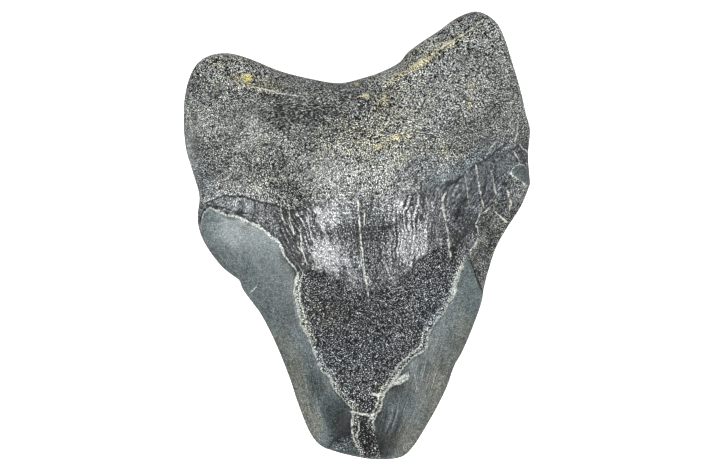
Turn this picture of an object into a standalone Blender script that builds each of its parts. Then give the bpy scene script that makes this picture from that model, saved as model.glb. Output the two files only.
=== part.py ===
"""Fossil megalodon tooth, lying on its labial face with the lingual face up.

+X runs across the root, +Y from the broken tip to the root lobes, and +Z up from the surface that the
tooth lies on. The origin is the middle of its outline's box, on that surface.
Every length is in millimetres until a point goes into the mesh, which is in metres.
"""

from types import SimpleNamespace

import bmesh
import bpy
import numpy as np
from mathutils import Vector, noise

MM = 0.001
TINY = 1e-6

# Outline seen from above, clockwise from the left root lobe, as (x, y).
BASAL_MARGIN = [
    (-37.6, 35.8), (-35.6, 39.0), (-32.6, 40.6), (-28.8, 40.9), (-24.5, 39.8), (-17.3, 36.9),
    (-10.1, 35.1), (-3.8, 34.2), (2.5, 35.7), (5.4, 36.7), (9.6, 38.9), (11.3, 41.0),
    (14.0, 43.1), (18.7, 46.2), (22.3, 48.8), (26.3, 50.3), (29.0, 49.7), (31.5, 47.7),
]
RIGHT_EDGE = [
    (33.2, 44.3), (34.9, 38.9), (36.8, 32.4), (38.0, 27.2), (38.9, 23.7), (38.5, 18.0),
    (39.0, 11.5), (37.0, 6.6), (33.6, 1.3), (31.3, -2.9), (29.8, -7.4), (28.6, -11.9),
    (28.1, -15.1), (26.0, -21.0), (23.6, -26.6), (21.9, -29.6), (20.4, -33.9), (17.9, -39.1),
    (14.3, -45.3), (12.7, -47.7),
]
BROKEN_TIP = [
    (10.9, -49.6), (8.8, -50.4), (5.6, -50.65), (2.2, -50.45), (-1.1, -49.85), (-4.6, -48.95),
    (-8.3, -47.45),
]
LEFT_EDGE = [
    (-10.7, -44.4), (-13.6, -37.2), (-14.9, -33.1), (-18.1, -25.0), (-21.6, -18.0),
    (-25.2, -13.1), (-26.1, -11.5), (-26.4, -10.3), (-30.7, -6.9), (-34.7, -1.1), (-35.9, 3.4),
    (-35.5, 8.8), (-37.1, 14.6), (-38.4, 19.1), (-38.95, 24.5), (-38.8, 30.8),
]
# Outline points where the curve turns sharply: the right shoulder's two corners and the left nick.
CORNERS = {(39.0, 11.5), (28.6, -11.9), (-26.4, -10.3)}
# The small nick of the left edge lies between these, and the form of the crown takes no notice of it.
NICK_BOTTOM, NICK_TOP = -16.0, -7.4
CURVE_STEPS = 8

# Heights along the tooth, as (share of the way from the basal margin to the tip, height).
RIM_HEIGHT = ((0.0, 5.5), (0.12, 8.0), (0.25, 7.2), (0.36, 5.8), (0.6, 4.0), (1.0, 3.5))
LINGUAL_RISE = (
    (0.0, 8.6), (0.04, 9.6), (0.10, 11.4), (0.24, 15.3), (0.31, 15.2), (0.45, 13.8),
    (0.60, 11.9), (0.80, 8.7), (0.94, 6.0), (1.0, 5.0),
)
LABIAL_MIDDLE = (
    (0.0, 3.4), (0.15, 2.0), (0.28, 0.8), (0.42, -0.1), (0.58, -0.5), (0.74, 0.0),
    (0.9, 0.9), (1.0, 1.7),
)
LABIAL_SIDES = (
    (0.0, -0.5), (0.13, -3.6), (0.22, -1.6), (0.32, 1.6), (0.45, 2.8), (0.6, 2.9),
    (0.8, 2.6), (1.0, 2.7),
)

# Cross-sections: the root has upright rounded sides and a low dome, the crown is a lens.
ROOT_SIDE_RADIUS = 7.0
ROOT_WALL_SHARE = 0.36
ROOT_DOME_POWER = 2.4
CROWN_WALL_SHARE = 0.07
CROWN_WALL_RADIUS = 1.0
CROWN_DOME_POWER = 1.9
CROWN_START, CROWN_FULL = 0.25, 0.42
BASAL_RADIUS = 4.0
TIP_RADIUS = 2.2
LOBE_THINNING = 0.2
LOBE_REACH = 0.3
LABIAL_ROOT_RADIUS = 5.0
LABIAL_CROWN_RADIUS = 1.5

# Borders on the lingual face. Each region is a polygon that runs out past the outline.
OUTSIDE = 60.0
ROOT_BORDER = [
    (-OUTSIDE, 8.1), (-34.2, 8.1), (-31.5, 8.8), (-28.1, 8.3), (-21.4, 7.0), (-15.1, 5.4),
    (-12.8, 6.5), (-6.1, 7.9), (0.7, 8.6), (7.4, 8.6), (11.9, 9.0), (16.4, 10.6), (21.4, 12.4),
    (26.6, 15.8), (29.9, 17.3), (36.7, 20.7), (OUTSIDE, 24.0),
]
DENTINE_BORDER = [
    (-OUTSIDE, -8.3), (-13.3, -8.3), (-9.2, -8.1), (-6.1, -9.2), (-1.1, -11.7), (1.8, -12.6),
    (8.6, -11.5), (9.7, -9.9), (11.7, -8.6), (13.7, -5.6), (17.8, -2.9), (21.4, -2.7),
    (24.5, -4.3), (26.3, -8.6), (28.1, -12.2), (OUTSIDE, -14.0),
]
LEFT_ENAMEL = [
    (-OUTSIDE, 7.2), (-33.8, 5.9), (-28.8, 4.3), (-21.2, 1.4), (-18.7, -0.7), (-15.1, -6.1),
    (-13.3, -8.6), (-14.0, -12.4), (-13.3, -17.3), (-11.2, -22.1), (-7.9, -30.6), (-5.6, -33.1),
    (-4.0, -36.0), (-0.9, -38.9), (-1.4, -41.6), (-1.1, -44.3), (-4.7, -46.6), (-5.6, -OUTSIDE),
    (-OUTSIDE, -OUTSIDE),
]
RIGHT_ENAMEL = [
    (25.0, -6.1), (23.4, -7.4), (20.7, -14.8), (19.4, -17.8), (17.3, -19.8), (15.8, -22.7),
    (15.8, -25.9), (12.6, -27.2), (10.3, -29.7), (7.9, -33.5), (6.1, -36.2), (3.8, -42.1),
    (4.7, -47.2), (6.1, -OUTSIDE), (OUTSIDE, -OUTSIDE), (OUTSIDE, -14.6), (28.6, -12.6),
    (27.4, -10.1), (25.4, -6.5),
]
BROKEN_SHOULDER = [
    (28.4, 6.8), (30.6, 7.9), (33.8, 10.1), (34.9, 11.5), (38.9, 11.0), (OUTSIDE, 11.0),
    (OUTSIDE, -16.9), (32.2, -16.9), (28.4, -12.8), (27.2, -9.0), (25.4, -6.1), (26.1, -1.1),
    (27.2, 2.9),
]
LABIAL_ENAMEL_BORDER = [
    (-OUTSIDE, 9.0), (-36.0, 9.0), (-25.0, 10.5), (-10.0, 12.4), (5.0, 14.6), (20.0, 17.8),
    (38.5, 19.0), (OUTSIDE, 19.0),
]

# How far each surface stands over the one it borders, and how wide the ledge between them is.
ROOT_STEP = 0.8
ENAMEL_STEP = 0.9
BOURLETTE_STEP = 0.45
LABIAL_ENAMEL_STEP = 0.6
LEDGE_WIDTH = 0.8
SHOULDER_SLOPE = 0.45
SHOULDER_LIP = 0.5

# Creases that cross the root just below its basal margin, with the hollow under them.
LEFT_RIDGE = [
    (-31.9, 36.0), (-29.5, 34.9), (-26.3, 33.8), (-20.2, 32.4), (-12.8, 31.5),
]
RIGHT_RIDGE = [
    (28.8, 47.7), (21.8, 43.3), (18.7, 42.1), (13.1, 37.6), (9.2, 36.0), (7.0, 34.2),
]
RIDGE_HEIGHT = 0.9
RIDGE_WIDTH = 1.3
HOLLOW_DROP = 3.6
HOLLOW_DEPTH = 0.9
HOLLOW_WIDTH = 2.6

# Small natural holes in the root, as (x, y, radius, depth).
LINGUAL_PITS = [
    (-20.5, 26.0, 1.3, 0.7), (-9.0, 20.5, 1.1, 0.6), (5.2, 19.8, 1.4, 0.8), (15.5, 29.0, 1.2, 0.7),
    (27.5, 33.5, 1.3, 0.7), (-29.0, 17.0, 1.2, 0.6), (22.0, 20.0, 1.1, 0.6), (32.0, 18.5, 1.2, 0.8),
]
LABIAL_PITS = [
    (-14.0, 24.0, 1.3, 0.7), (-2.0, 21.5, 1.6, 1.0), (9.0, 25.5, 1.2, 0.7), (19.5, 29.5, 1.3, 0.7),
    (-24.0, 18.5, 1.1, 0.6), (3.5, 29.5, 1.1, 0.6),
]

# Weathering: lumps all over, as (size, share), stronger on the porous root than on the dense crown.
LUMP_SIZES = ((7.0, 1.0), (3.0, 0.5))
ROOT_LUMP = 0.42
CROWN_LUMP = 0.16
LUMP_EDGE = 3.0
LINGUAL_SEED, LABIAL_SEED = 3.7, 11.3

# Mesh: each face starts as a fine grid, and both are thinned to what the ledges need.
COLUMNS, ROWS = 120, 140
EDGE_CROWDING = 0.9
TRIANGLES = 9400
PAD_LEVEL = 0.06
SHARP_ANGLE = np.radians(38)

TOOTH_COLOR = (0.137, 0.147, 0.147, 1.0)
TOOTH_ROUGHNESS = 0.5


def clear_scene():
    """Removes whatever objects the scene holds."""
    for obj in list(bpy.data.objects):
        bpy.data.objects.remove(obj, do_unlink=True)


def ramp(value, start, end):
    """0 up to start, 1 from end, and a smooth rise between."""
    share = np.clip((value - start) / (end - start), 0, 1)
    return share * share * (3 - 2 * share)


def mix(first, second, share):
    """first where share is 0 and second where it is 1."""
    return first + (second - first) * share


def quarter_round(distance, radius):
    """The height, from 0 to 1, of a rounded edge at this distance in from it."""
    share = np.clip(distance / radius, 0, 1)
    return np.sqrt(1 - (1 - share) ** 2)


def cubic(share, length, start, end, leaving, arriving):
    """The cubic from start to end that has these slopes at its ends."""
    return (
        (1 + 2 * share) * (1 - share) ** 2 * start
        + share * (1 - share) ** 2 * length * leaving
        + share**2 * (3 - 2 * share) * end
        - share**2 * (1 - share) * length * arriving
    )


def profile(places, stops):
    """A smooth curve through (place, height) stops, read at each of the places."""
    at, height = np.array(stops).T
    slope = np.gradient(height, at)
    i = np.clip(np.searchsorted(at, places, side="right") - 1, 0, len(at) - 2)
    length = at[i + 1] - at[i]
    share = (places - at[i]) / length
    return cubic(share, length, height[i], height[i + 1], slope[i], slope[i + 1])


def outline_sides():
    """The outline as four dense curves: basal margin, right edge, tip and left edge.

    The margin and the tip run left to right, and the edges run from the root to the tip.
    """
    loop = BASAL_MARGIN + RIGHT_EDGE + BROKEN_TIP + LEFT_EDGE
    points = np.array(loop)
    ahead = np.roll(points, -1, axis=0) - points
    length = np.linalg.norm(ahead, axis=1)
    behind = np.roll(ahead, 1, axis=0)
    slope = (ahead + behind) / (length + np.roll(length, 1))[:, None]
    share = np.linspace(0, 1, CURVE_STEPS, endpoint=False)[:, None]
    curve = []
    for i, start in enumerate(loop):
        j = (i + 1) % len(loop)
        straight = ahead[i] / length[i]
        leaving = straight if start in CORNERS else slope[i]
        arriving = straight if loop[j] in CORNERS else slope[j]
        curve.append(cubic(share, length[i], points[i], points[j], leaving, arriving))
    curve = np.concatenate(curve)
    margin_end = (len(BASAL_MARGIN) - 1) * CURVE_STEPS
    right_end = margin_end + len(RIGHT_EDGE) * CURVE_STEPS
    tip_end = right_end + len(BROKEN_TIP) * CURVE_STEPS
    margin = curve[: margin_end + 1]
    right = curve[margin_end : right_end + 1]
    tip = curve[right_end : tip_end + 1][::-1]
    left = np.concatenate([curve[tip_end:], curve[:1]])[::-1]
    return margin, right, tip, left


def along(line, share):
    """The points at these shares of a line's length."""
    reach = np.concatenate([[0], np.cumsum(np.hypot(*np.diff(line, axis=0).T))])
    return np.stack([np.interp(share * reach[-1], reach, line[:, k]) for k in (0, 1)], axis=-1)


def inside_outline(sides, u, v):
    """Spreads a unit square over the outline: u runs across the tooth, and v from the root to the tip."""
    margin, right, tip, left = sides
    across, down = u[:, None], v[:, None]
    between = (1 - down) * along(margin, u) + down * along(tip, u)
    between += (1 - across) * along(left, v) + across * along(right, v)
    corners = (1 - down) * ((1 - across) * margin[0] + across * margin[-1])
    corners += down * ((1 - across) * tip[0] + across * tip[-1])
    return (between - corners).T


def distance_to(line, x, y):
    """The distance from each (x, y) to an open line."""
    nearest = np.full(x.shape, np.inf)
    for (ax, ay), (bx, by) in zip(line[:-1], line[1:]):
        dx, dy = bx - ax, by - ay
        share = np.clip(((x - ax) * dx + (y - ay) * dy) / (dx * dx + dy * dy), 0, 1)
        nearest = np.minimum(nearest, np.hypot(x - ax - share * dx, y - ay - share * dy))
    return nearest


def in_nick(point):
    """True for a point of the outline in the small nick of the left edge."""
    return NICK_BOTTOM < point[1] < NICK_TOP and point[0] < 0


def depth_inside(polygon, x, y):
    """The distance from each (x, y) to a polygon's edge: over 0 inside it, and under 0 outside."""
    inside = np.zeros(x.shape, bool)
    closed = polygon + polygon[:1]
    for (ax, ay), (bx, by) in zip(closed[:-1], closed[1:]):
        if ay != by:
            inside ^= ((ay > y) != (by > y)) & (x < ax + (y - ay) * (bx - ax) / (by - ay))
    return np.where(inside, 1, -1) * distance_to(closed, x, y)


def below(border):
    """The polygon of everything between a border and the tip."""
    return border + [(OUTSIDE, -OUTSIDE), (-OUTSIDE, -OUTSIDE)]


def ledge(depth):
    """0 outside a region and 1 inside it, with the ledge's width between."""
    return ramp(depth, -LEDGE_WIDTH / 2, LEDGE_WIDTH / 2)


def pits(place, holes):
    """How deep the small holes are at each place."""
    depth = np.zeros(place.x.shape)
    for x, y, radius, hole_depth in holes:
        share = np.hypot(place.x - x, place.y - y) / radius
        depth = np.maximum(depth, hole_depth * np.clip(1 - share**2, 0, 1))
    return depth


def lumps(place, seed):
    """Broad weathering lumps, fading out at the tooth's edge."""
    rise = np.zeros(place.x.shape)
    for size, share in LUMP_SIZES:
        points = zip(place.x / size, place.y / size)
        rise += share * np.array([noise.noise(Vector((x, y, seed + size))) for x, y in points])
    return rise * mix(ROOT_LUMP, CROWN_LUMP, place.crown) * ramp(place.edge, 0, LUMP_EDGE)


def places_of(sides, u, v):
    """Where each grid point lies: its distances from the outline's sides, and what follows from them.

    down runs from 0 at the basal margin to 1 at the tip, and off_centre from 0 midway to 1 at the edges.
    """
    margin, right, tip, left = sides
    x, y = inside_outline(sides, u, v)
    from_left, from_right = distance_to(left, x, y), distance_to(right, x, y)
    place = SimpleNamespace(x=x, y=y, side=np.minimum(from_left, from_right))
    place.basal = distance_to(margin, x, y)
    place.tip = distance_to(tip, x, y)
    place.edge = np.minimum(np.minimum(place.side, place.basal), place.tip)
    from_left = distance_to(np.array([point for point in left if not in_nick(point)]), x, y)
    place.off_centre = np.abs(from_left - from_right) / (from_left + from_right)
    place.down = place.basal / (place.basal + place.tip)
    place.rim = profile(place.down, RIM_HEIGHT)
    place.crown = ramp(place.down, CROWN_START, CROWN_FULL)
    return place


def lingual_dome(place):
    """The lingual face before it broke and wore: a thick domed root running into a lens-shaped crown."""
    from_margin = place.basal / np.maximum(place.basal + place.side, TINY)
    radius = mix(BASAL_RADIUS, ROOT_SIDE_RADIUS, ramp(from_margin, 0, 1))
    ends = quarter_round(place.basal, BASAL_RADIUS) * quarter_round(place.tip, TIP_RADIUS)
    root = ROOT_WALL_SHARE * quarter_round(place.edge, radius)
    root += (1 - ROOT_WALL_SHARE) * (1 - place.off_centre**ROOT_DOME_POWER) * ends
    root *= 1 - LOBE_THINNING * place.off_centre**2 * (1 - ramp(place.down, 0, LOBE_REACH))
    crown = CROWN_WALL_SHARE * quarter_round(place.edge, CROWN_WALL_RADIUS)
    nicked = quarter_round(place.side, CROWN_WALL_RADIUS)
    crown += (1 - CROWN_WALL_SHARE) * (1 - place.off_centre**CROWN_DOME_POWER) * ends * nicked
    return profile(place.down, LINGUAL_RISE) * mix(root, crown, place.crown)


def basal_ridges(place):
    """The two creases under the basal margin, each with a hollow on the side of the tip."""
    relief = np.zeros(place.x.shape)
    for ridge in (LEFT_RIDGE, RIGHT_RIDGE):
        on_ridge = distance_to(ridge, place.x, place.y) / RIDGE_WIDTH
        in_hollow = distance_to(ridge, place.x, place.y + HOLLOW_DROP) / HOLLOW_WIDTH
        relief += RIDGE_HEIGHT * np.exp(-(on_ridge**2)) - HOLLOW_DEPTH * np.exp(-(in_hollow**2))
    return relief


def lingual_height(place):
    """The upper face: root, bourlette, bared dentine, and the enamel left on both sides."""
    x, y = place.x, place.y
    root = ledge(-depth_inside(below(ROOT_BORDER), x, y))
    left = depth_inside(LEFT_ENAMEL, x, y)
    right = depth_inside(RIGHT_ENAMEL, x, y)
    enamel = ledge(np.maximum(left, right))
    bourlette = ledge(-depth_inside(below(DENTINE_BORDER), x, y))
    relief = mix(mix(BOURLETTE_STEP * bourlette, ENAMEL_STEP, enamel), BOURLETTE_STEP + ROOT_STEP, root)
    relief += basal_ridges(place) - pits(place, LINGUAL_PITS)
    dome = place.rim + lingual_dome(place)
    worn = dome + relief * quarter_round(place.edge, CROWN_WALL_RADIUS) + lumps(place, LINGUAL_SEED)
    broken = np.maximum(depth_inside(BROKEN_SHOULDER, x, y), 0) * SHOULDER_SLOPE
    lip = place.rim + SHOULDER_LIP * place.edge
    return np.where(broken > 0, np.maximum(worn - broken, np.minimum(lip, worn)), worn)


def labial_height(place):
    """The lower face: almost flat, resting on the crown's belly and on a pad under each root lobe."""
    middle = profile(place.down, LABIAL_MIDDLE)
    sides = profile(place.down, LABIAL_SIDES)
    face = middle + (sides - middle) * place.off_centre**2
    face += LABIAL_ENAMEL_STEP * ledge(-depth_inside(below(LABIAL_ENAMEL_BORDER), place.x, place.y))
    face += pits(place, LABIAL_PITS) + lumps(place, LABIAL_SEED)
    radius = mix(LABIAL_ROOT_RADIUS, LABIAL_CROWN_RADIUS, place.crown)
    return np.maximum(place.rim + (face - place.rim) * quarter_round(place.edge, radius), 0)


def crowded(share):
    """Shares from 0 to 1, closer together near both ends, where the tooth's edges are round."""
    return share - EDGE_CROWDING * np.sin(2 * np.pi * share) / (2 * np.pi)


def add_face(bm, sides, height, faces_down):
    """Adds one face of the tooth as a grid bent to its height."""
    grid = bmesh.ops.create_grid(bm, x_segments=COLUMNS, y_segments=ROWS, size=0.5)["verts"]
    unit = np.array([vert.co for vert in grid])
    place = places_of(sides, crowded(unit[:, 0] + 0.5), crowded(0.5 - unit[:, 1]))
    for vert, x, y, z in zip(grid, place.x, place.y, height(place)):
        vert.co = Vector((x, y, z)) * MM
    if faces_down:
        bmesh.ops.reverse_faces(bm, faces=list({face for vert in grid for face in vert.link_faces}))


def fine_tooth(name):
    """Both faces joined along the outline, as a closed fine mesh."""
    sides = outline_sides()
    bm = bmesh.new()
    add_face(bm, sides, lingual_height, faces_down=False)
    add_face(bm, sides, labial_height, faces_down=True)
    bmesh.ops.remove_doubles(bm, verts=bm.verts, dist=TINY)
    bmesh.ops.triangulate(bm, faces=bm.faces)
    mesh = bpy.data.meshes.new(name)
    bm.to_mesh(mesh)
    bm.free()
    return mesh


def thin_out(obj):
    """Thins the mesh where it is smooth, and keeps its triangles for ledges and ridges."""
    decimate = obj.modifiers.new("thin out", "DECIMATE")
    decimate.ratio = TRIANGLES / len(obj.data.polygons)
    bpy.context.view_layer.update()
    evaluated = obj.evaluated_get(bpy.context.evaluated_depsgraph_get())
    obj.data = bpy.data.meshes.new_from_object(evaluated)
    obj.modifiers.clear()


def settle(mesh):
    """Makes the places that the tooth rests on exactly flat."""
    for vert in mesh.vertices:
        if vert.co.z < PAD_LEVEL * MM:
            vert.co.z = 0


def tooth_material():
    """Dark grey fossil: mineralised enamel and dentine with a soft sheen."""
    material = bpy.data.materials.new("fossil_tooth")
    material.use_nodes = True
    shader = material.node_tree.nodes["Principled BSDF"]
    shader.inputs["Base Color"].default_value = TOOTH_COLOR
    shader.inputs["Roughness"].default_value = TOOTH_ROUGHNESS
    shader.inputs["Metallic"].default_value = 0.0
    return material


def add_tooth():
    """The whole tooth, one solid."""
    tooth = bpy.data.objects.new("tooth", fine_tooth("tooth"))
    collection = bpy.data.collections.new("megalodon_tooth")
    bpy.context.scene.collection.children.link(collection)
    collection.objects.link(tooth)
    thin_out(tooth)
    settle(tooth.data)
    tooth.data.materials.append(tooth_material())
    tooth.data.shade_smooth()
    tooth.data.set_sharp_from_angle(angle=SHARP_ANGLE)


clear_scene()
add_tooth()
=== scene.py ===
"""Fossil megalodon tooth on a pale table, seen from straight above."""

import math

import bmesh
import bpy
import numpy as np
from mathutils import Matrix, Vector, noise


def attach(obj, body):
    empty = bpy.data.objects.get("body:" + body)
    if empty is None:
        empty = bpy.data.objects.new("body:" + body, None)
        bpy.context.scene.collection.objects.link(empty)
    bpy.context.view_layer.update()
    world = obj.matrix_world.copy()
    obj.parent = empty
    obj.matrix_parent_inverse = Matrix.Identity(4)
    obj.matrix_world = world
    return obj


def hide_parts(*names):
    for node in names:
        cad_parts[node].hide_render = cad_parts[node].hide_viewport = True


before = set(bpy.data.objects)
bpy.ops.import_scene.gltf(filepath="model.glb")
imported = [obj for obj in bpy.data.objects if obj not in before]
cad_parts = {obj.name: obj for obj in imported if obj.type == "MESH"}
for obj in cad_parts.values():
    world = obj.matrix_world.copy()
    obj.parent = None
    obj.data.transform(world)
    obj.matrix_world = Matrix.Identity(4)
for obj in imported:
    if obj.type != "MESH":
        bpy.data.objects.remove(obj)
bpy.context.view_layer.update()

scene = bpy.context.scene
MM = 0.001

# -----------------------------------------------------------------------------
# Camera. It hangs far above the tooth on a long lens, so that the thick root isn't drawn wider than
# the thin crown. The tooth sits just right of the middle of the frame.

VIEW_WIDTH = 0.1593
CAMERA_HEIGHT, OUTLINE_HEIGHT = 1.2, 0.006
FRAME_OFFSET = (-0.00068, -0.00023)
SENSOR_WIDTH = 36.0
NEAREST, FARTHEST = 0.05, 20.0

camera_data = bpy.data.cameras.new("camera")
camera_data.sensor_width = SENSOR_WIDTH
camera_data.lens = SENSOR_WIDTH * (CAMERA_HEIGHT - OUTLINE_HEIGHT) / VIEW_WIDTH
camera_data.clip_start, camera_data.clip_end = NEAREST, FARTHEST
camera = bpy.data.objects.new("camera", camera_data)
camera.location = (*FRAME_OFFSET, CAMERA_HEIGHT)
scene.collection.objects.link(camera)
scene.camera = camera

# -----------------------------------------------------------------------------
# Table and light. A white light table, and three softboxes, to the left and right of the tip and
# beyond the root, with soft light from all round. They give the dull shine on the band below the root.

TABLE_SIZE, TABLE_DROP = 4.0, 0.02
TABLE_WHITE, TABLE_GLOW, TABLE_ROUGHNESS = 0.86, 0.7, 0.9
# What the tooth sees of the table, as if it lay on grey card: a white one would wash out its rim.
TABLE_GREY = 0.42
ROOM_STRENGTH = 0.75
# Softboxes as (name, turn round the tooth in degrees, height angle, distance, width, height, watts).
SOFTBOXES = (
    ("softbox_left", 232, 42, 0.8, 0.36, 0.56, 9),
    ("softbox_right", 318, 40, 0.8, 0.36, 0.46, 6.5),
    ("softbox_root", 92, 36, 0.9, 0.6, 0.3, 3.5),
)

bpy.ops.mesh.primitive_plane_add(size=TABLE_SIZE)
table = bpy.context.object
table.name = "table"
table.location.z = -TABLE_DROP * MM
table_material = bpy.data.materials.new("light_table")
table_material.use_nodes = True
table_tree = table_material.node_tree
table_shader = table_tree.nodes["Principled BSDF"]
table_shader.inputs["Roughness"].default_value = TABLE_ROUGHNESS
table_shader.inputs["Specular IOR Level"].default_value = 0.0
table_shader.inputs["Emission Color"].default_value = (1, 1, 1, 1)
seen = table_tree.nodes.new("ShaderNodeLightPath").outputs["Is Camera Ray"]
for socket, to_tooth, to_eye in (
    ("Base Color", TABLE_GREY, TABLE_WHITE), ("Emission Strength", 0.0, TABLE_GLOW),
):
    pick = table_tree.nodes.new("ShaderNodeMapRange")
    pick.inputs["To Min"].default_value, pick.inputs["To Max"].default_value = to_tooth, to_eye
    table_tree.links.new(seen, pick.inputs["Value"])
    table_tree.links.new(pick.outputs["Result"], table_shader.inputs[socket])
table.data.materials.append(table_material)

room = bpy.data.worlds.new("room")
room.use_nodes = True
background = room.node_tree.nodes["Background"]
background.inputs["Color"].default_value = (1, 1, 1, 1)
background.inputs["Strength"].default_value = ROOM_STRENGTH
scene.world = room
scene.view_settings.view_transform = "Standard"

for name, turn, rise, distance, width, height, watts in SOFTBOXES:
    light_data = bpy.data.lights.new(name, "AREA")
    light_data.shape = "RECTANGLE"
    light_data.size, light_data.size_y = width, height
    light_data.energy = watts
    light = bpy.data.objects.new(name, light_data)
    turn, rise = math.radians(turn), math.radians(rise)
    towards = Vector((math.cos(turn) * math.cos(rise), math.sin(turn) * math.cos(rise), math.sin(rise)))
    light.location = towards * distance
    light.rotation_euler = towards.to_track_quat("Z", "Y").to_euler()
    scene.collection.objects.link(light)

# -----------------------------------------------------------------------------
# The tooth: outline and places.
# One piece of fossil: a porous root, a dense band below it, and a crown that has lost its enamel in
# the middle. Both faces are grids spread over one outline and joined along it. Lengths are in mm.

BASAL_MARGIN = [
    (-37.6, 35.8), (-35.6, 39), (-32.6, 40.6), (-28.8, 40.9), (-24.5, 39.8), (-17.3, 36.9), (-10.1, 35.1),
    (-3.8, 34.2), (2.5, 35.7), (5.4, 36.7), (9.6, 38.9), (11.3, 41), (14, 43.1), (18.7, 46.2),
    (22.3, 48.8), (26.3, 50.3), (29, 49.7), (31.5, 47.7),
]
RIGHT_EDGE = [
    (33.2, 44.3), (34.9, 38.9), (36.8, 32.4), (38, 27.2), (38.9, 23.7), (38.5, 18), (39, 11.5), (37, 6.6),
    (33.6, 1.3), (31.3, -2.9), (29.8, -7.4), (28.6, -11.9), (28.1, -15.1), (26, -21), (23.6, -26.6),
    (21.9, -29.6), (20.4, -33.9), (17.9, -39.1), (14.3, -45.3), (12.7, -47.7),
]
BROKEN_TIP = [
    (10.9, -49.6), (8.8, -50.4), (5.6, -50.65), (2.2, -50.45), (-1.1, -49.85), (-4.6, -48.95),
    (-8.3, -47.45),
]
LEFT_EDGE = [
    (-10.7, -44.4), (-13.6, -37.2), (-14.9, -33.1), (-18.1, -25), (-21.6, -18), (-25.2, -13.1),
    (-26.1, -11.5), (-26.4, -10.3), (-30.7, -6.9), (-34.7, -1.1), (-35.9, 3.4), (-35.5, 8.8),
    (-37.1, 14.6), (-38.4, 19.1), (-38.95, 24.5), (-38.8, 30.8),
]
CORNERS = {(39, 11.5), (28.6, -11.9), (-26.4, -10.3)}
NICK_BOTTOM, NICK_TOP = -16.0, -7.4
CURVE_STEPS = 8
COLUMNS, ROWS = 200, 245
EDGE_CROWDING = 0.6
TINY = 1e-6


def ramp(value, start, end):
    """0 up to start, 1 from end, and a smooth rise between."""
    share = np.clip((value - start) / (end - start), 0, 1)
    return share * share * (3 - 2 * share)


def mix(first, second, share):
    """first where share is 0 and second where it is 1."""
    return first + (second - first) * share


def quarter_round(distance, radius):
    """The height, from 0 to 1, of a rounded edge at this distance in from it."""
    share = np.clip(distance / radius, 0, 1)
    return np.sqrt(1 - (1 - share) ** 2)


def cubic(share, length, start, end, leaving, arriving):
    """The cubic from start to end that has these slopes at its ends."""
    return (
        (1 + 2 * share) * (1 - share) ** 2 * start
        + share * (1 - share) ** 2 * length * leaving
        + share**2 * (3 - 2 * share) * end
        - share**2 * (1 - share) * length * arriving
    )


def profile(places, stops):
    """A smooth curve through (place, height) stops, read at each of the places."""
    at, height = np.array(stops).T
    slope = np.gradient(height, at)
    i = np.clip(np.searchsorted(at, places, side="right") - 1, 0, len(at) - 2)
    length = at[i + 1] - at[i]
    return cubic((places - at[i]) / length, length, height[i], height[i + 1], slope[i], slope[i + 1])


def outline_sides():
    """The outline as four dense curves: basal margin, right edge, tip and left edge."""
    loop = BASAL_MARGIN + RIGHT_EDGE + BROKEN_TIP + LEFT_EDGE
    points = np.array(loop)
    ahead = np.roll(points, -1, axis=0) - points
    length = np.linalg.norm(ahead, axis=1)
    slope = (ahead + np.roll(ahead, 1, axis=0)) / (length + np.roll(length, 1))[:, None]
    share = np.linspace(0, 1, CURVE_STEPS, endpoint=False)[:, None]
    curve = []
    for i, start in enumerate(loop):
        j = (i + 1) % len(loop)
        straight = ahead[i] / length[i]
        leaving = straight if start in CORNERS else slope[i]
        arriving = straight if loop[j] in CORNERS else slope[j]
        curve.append(cubic(share, length[i], points[i], points[j], leaving, arriving))
    curve = np.concatenate(curve)
    margin_end = (len(BASAL_MARGIN) - 1) * CURVE_STEPS
    right_end = margin_end + len(RIGHT_EDGE) * CURVE_STEPS
    tip_end = right_end + len(BROKEN_TIP) * CURVE_STEPS
    left = np.concatenate([curve[tip_end:], curve[:1]])[::-1]
    tip = curve[right_end : tip_end + 1][::-1]
    return curve[: margin_end + 1], curve[margin_end : right_end + 1], tip, left


def along(line, share):
    """The points at these shares of a line's length."""
    reach = np.concatenate([[0], np.cumsum(np.hypot(*np.diff(line, axis=0).T))])
    return np.stack([np.interp(share * reach[-1], reach, line[:, k]) for k in (0, 1)], axis=-1)


def inside_outline(sides, u, v):
    """Spreads a unit square over the outline: u runs across the tooth, and v from the root to the tip."""
    margin, right, tip, left = sides
    across, down = u[:, None], v[:, None]
    between = (1 - down) * along(margin, u) + down * along(tip, u)
    between += (1 - across) * along(left, v) + across * along(right, v)
    corners = (1 - down) * ((1 - across) * margin[0] + across * margin[-1])
    corners += down * ((1 - across) * tip[0] + across * tip[-1])
    return (between - corners).T


def off_segment(start, end, x, y):
    """How far each (x, y) is off the nearest point of a straight line, along x and y."""
    (ax, ay), (bx, by) = start, end
    dx, dy = bx - ax, by - ay
    share = np.clip(((x - ax) * dx + (y - ay) * dy) / (dx * dx + dy * dy), 0, 1)
    return x - ax - share * dx, y - ay - share * dy


def distance_to(line, x, y):
    """The distance from each (x, y) to an open line."""
    nearest = np.full(x.shape, np.inf)
    for start, end in zip(line, line[1:]):
        off_x, off_y = off_segment(start, end, x, y)
        nearest = np.minimum(nearest, off_x**2 + off_y**2)
    return np.sqrt(nearest)


def depth_inside(polygon, x, y):
    """The distance from each (x, y) to a polygon's edge: over 0 inside it, and under 0 outside."""
    inside = np.zeros(x.shape, bool)
    closed = polygon + polygon[:1]
    for (ax, ay), (bx, by) in zip(closed, closed[1:]):
        if ay != by:
            inside ^= ((ay > y) != (by > y)) & (x < ax + (y - ay) * (bx - ax) / (by - ay))
    return np.where(inside, 1, -1) * distance_to(closed, x, y)


def in_nick(point):
    """True in the small nick of the left edge, which the form of the crown takes no notice of."""
    return NICK_BOTTOM < point[1] < NICK_TOP and point[0] < 0


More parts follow.
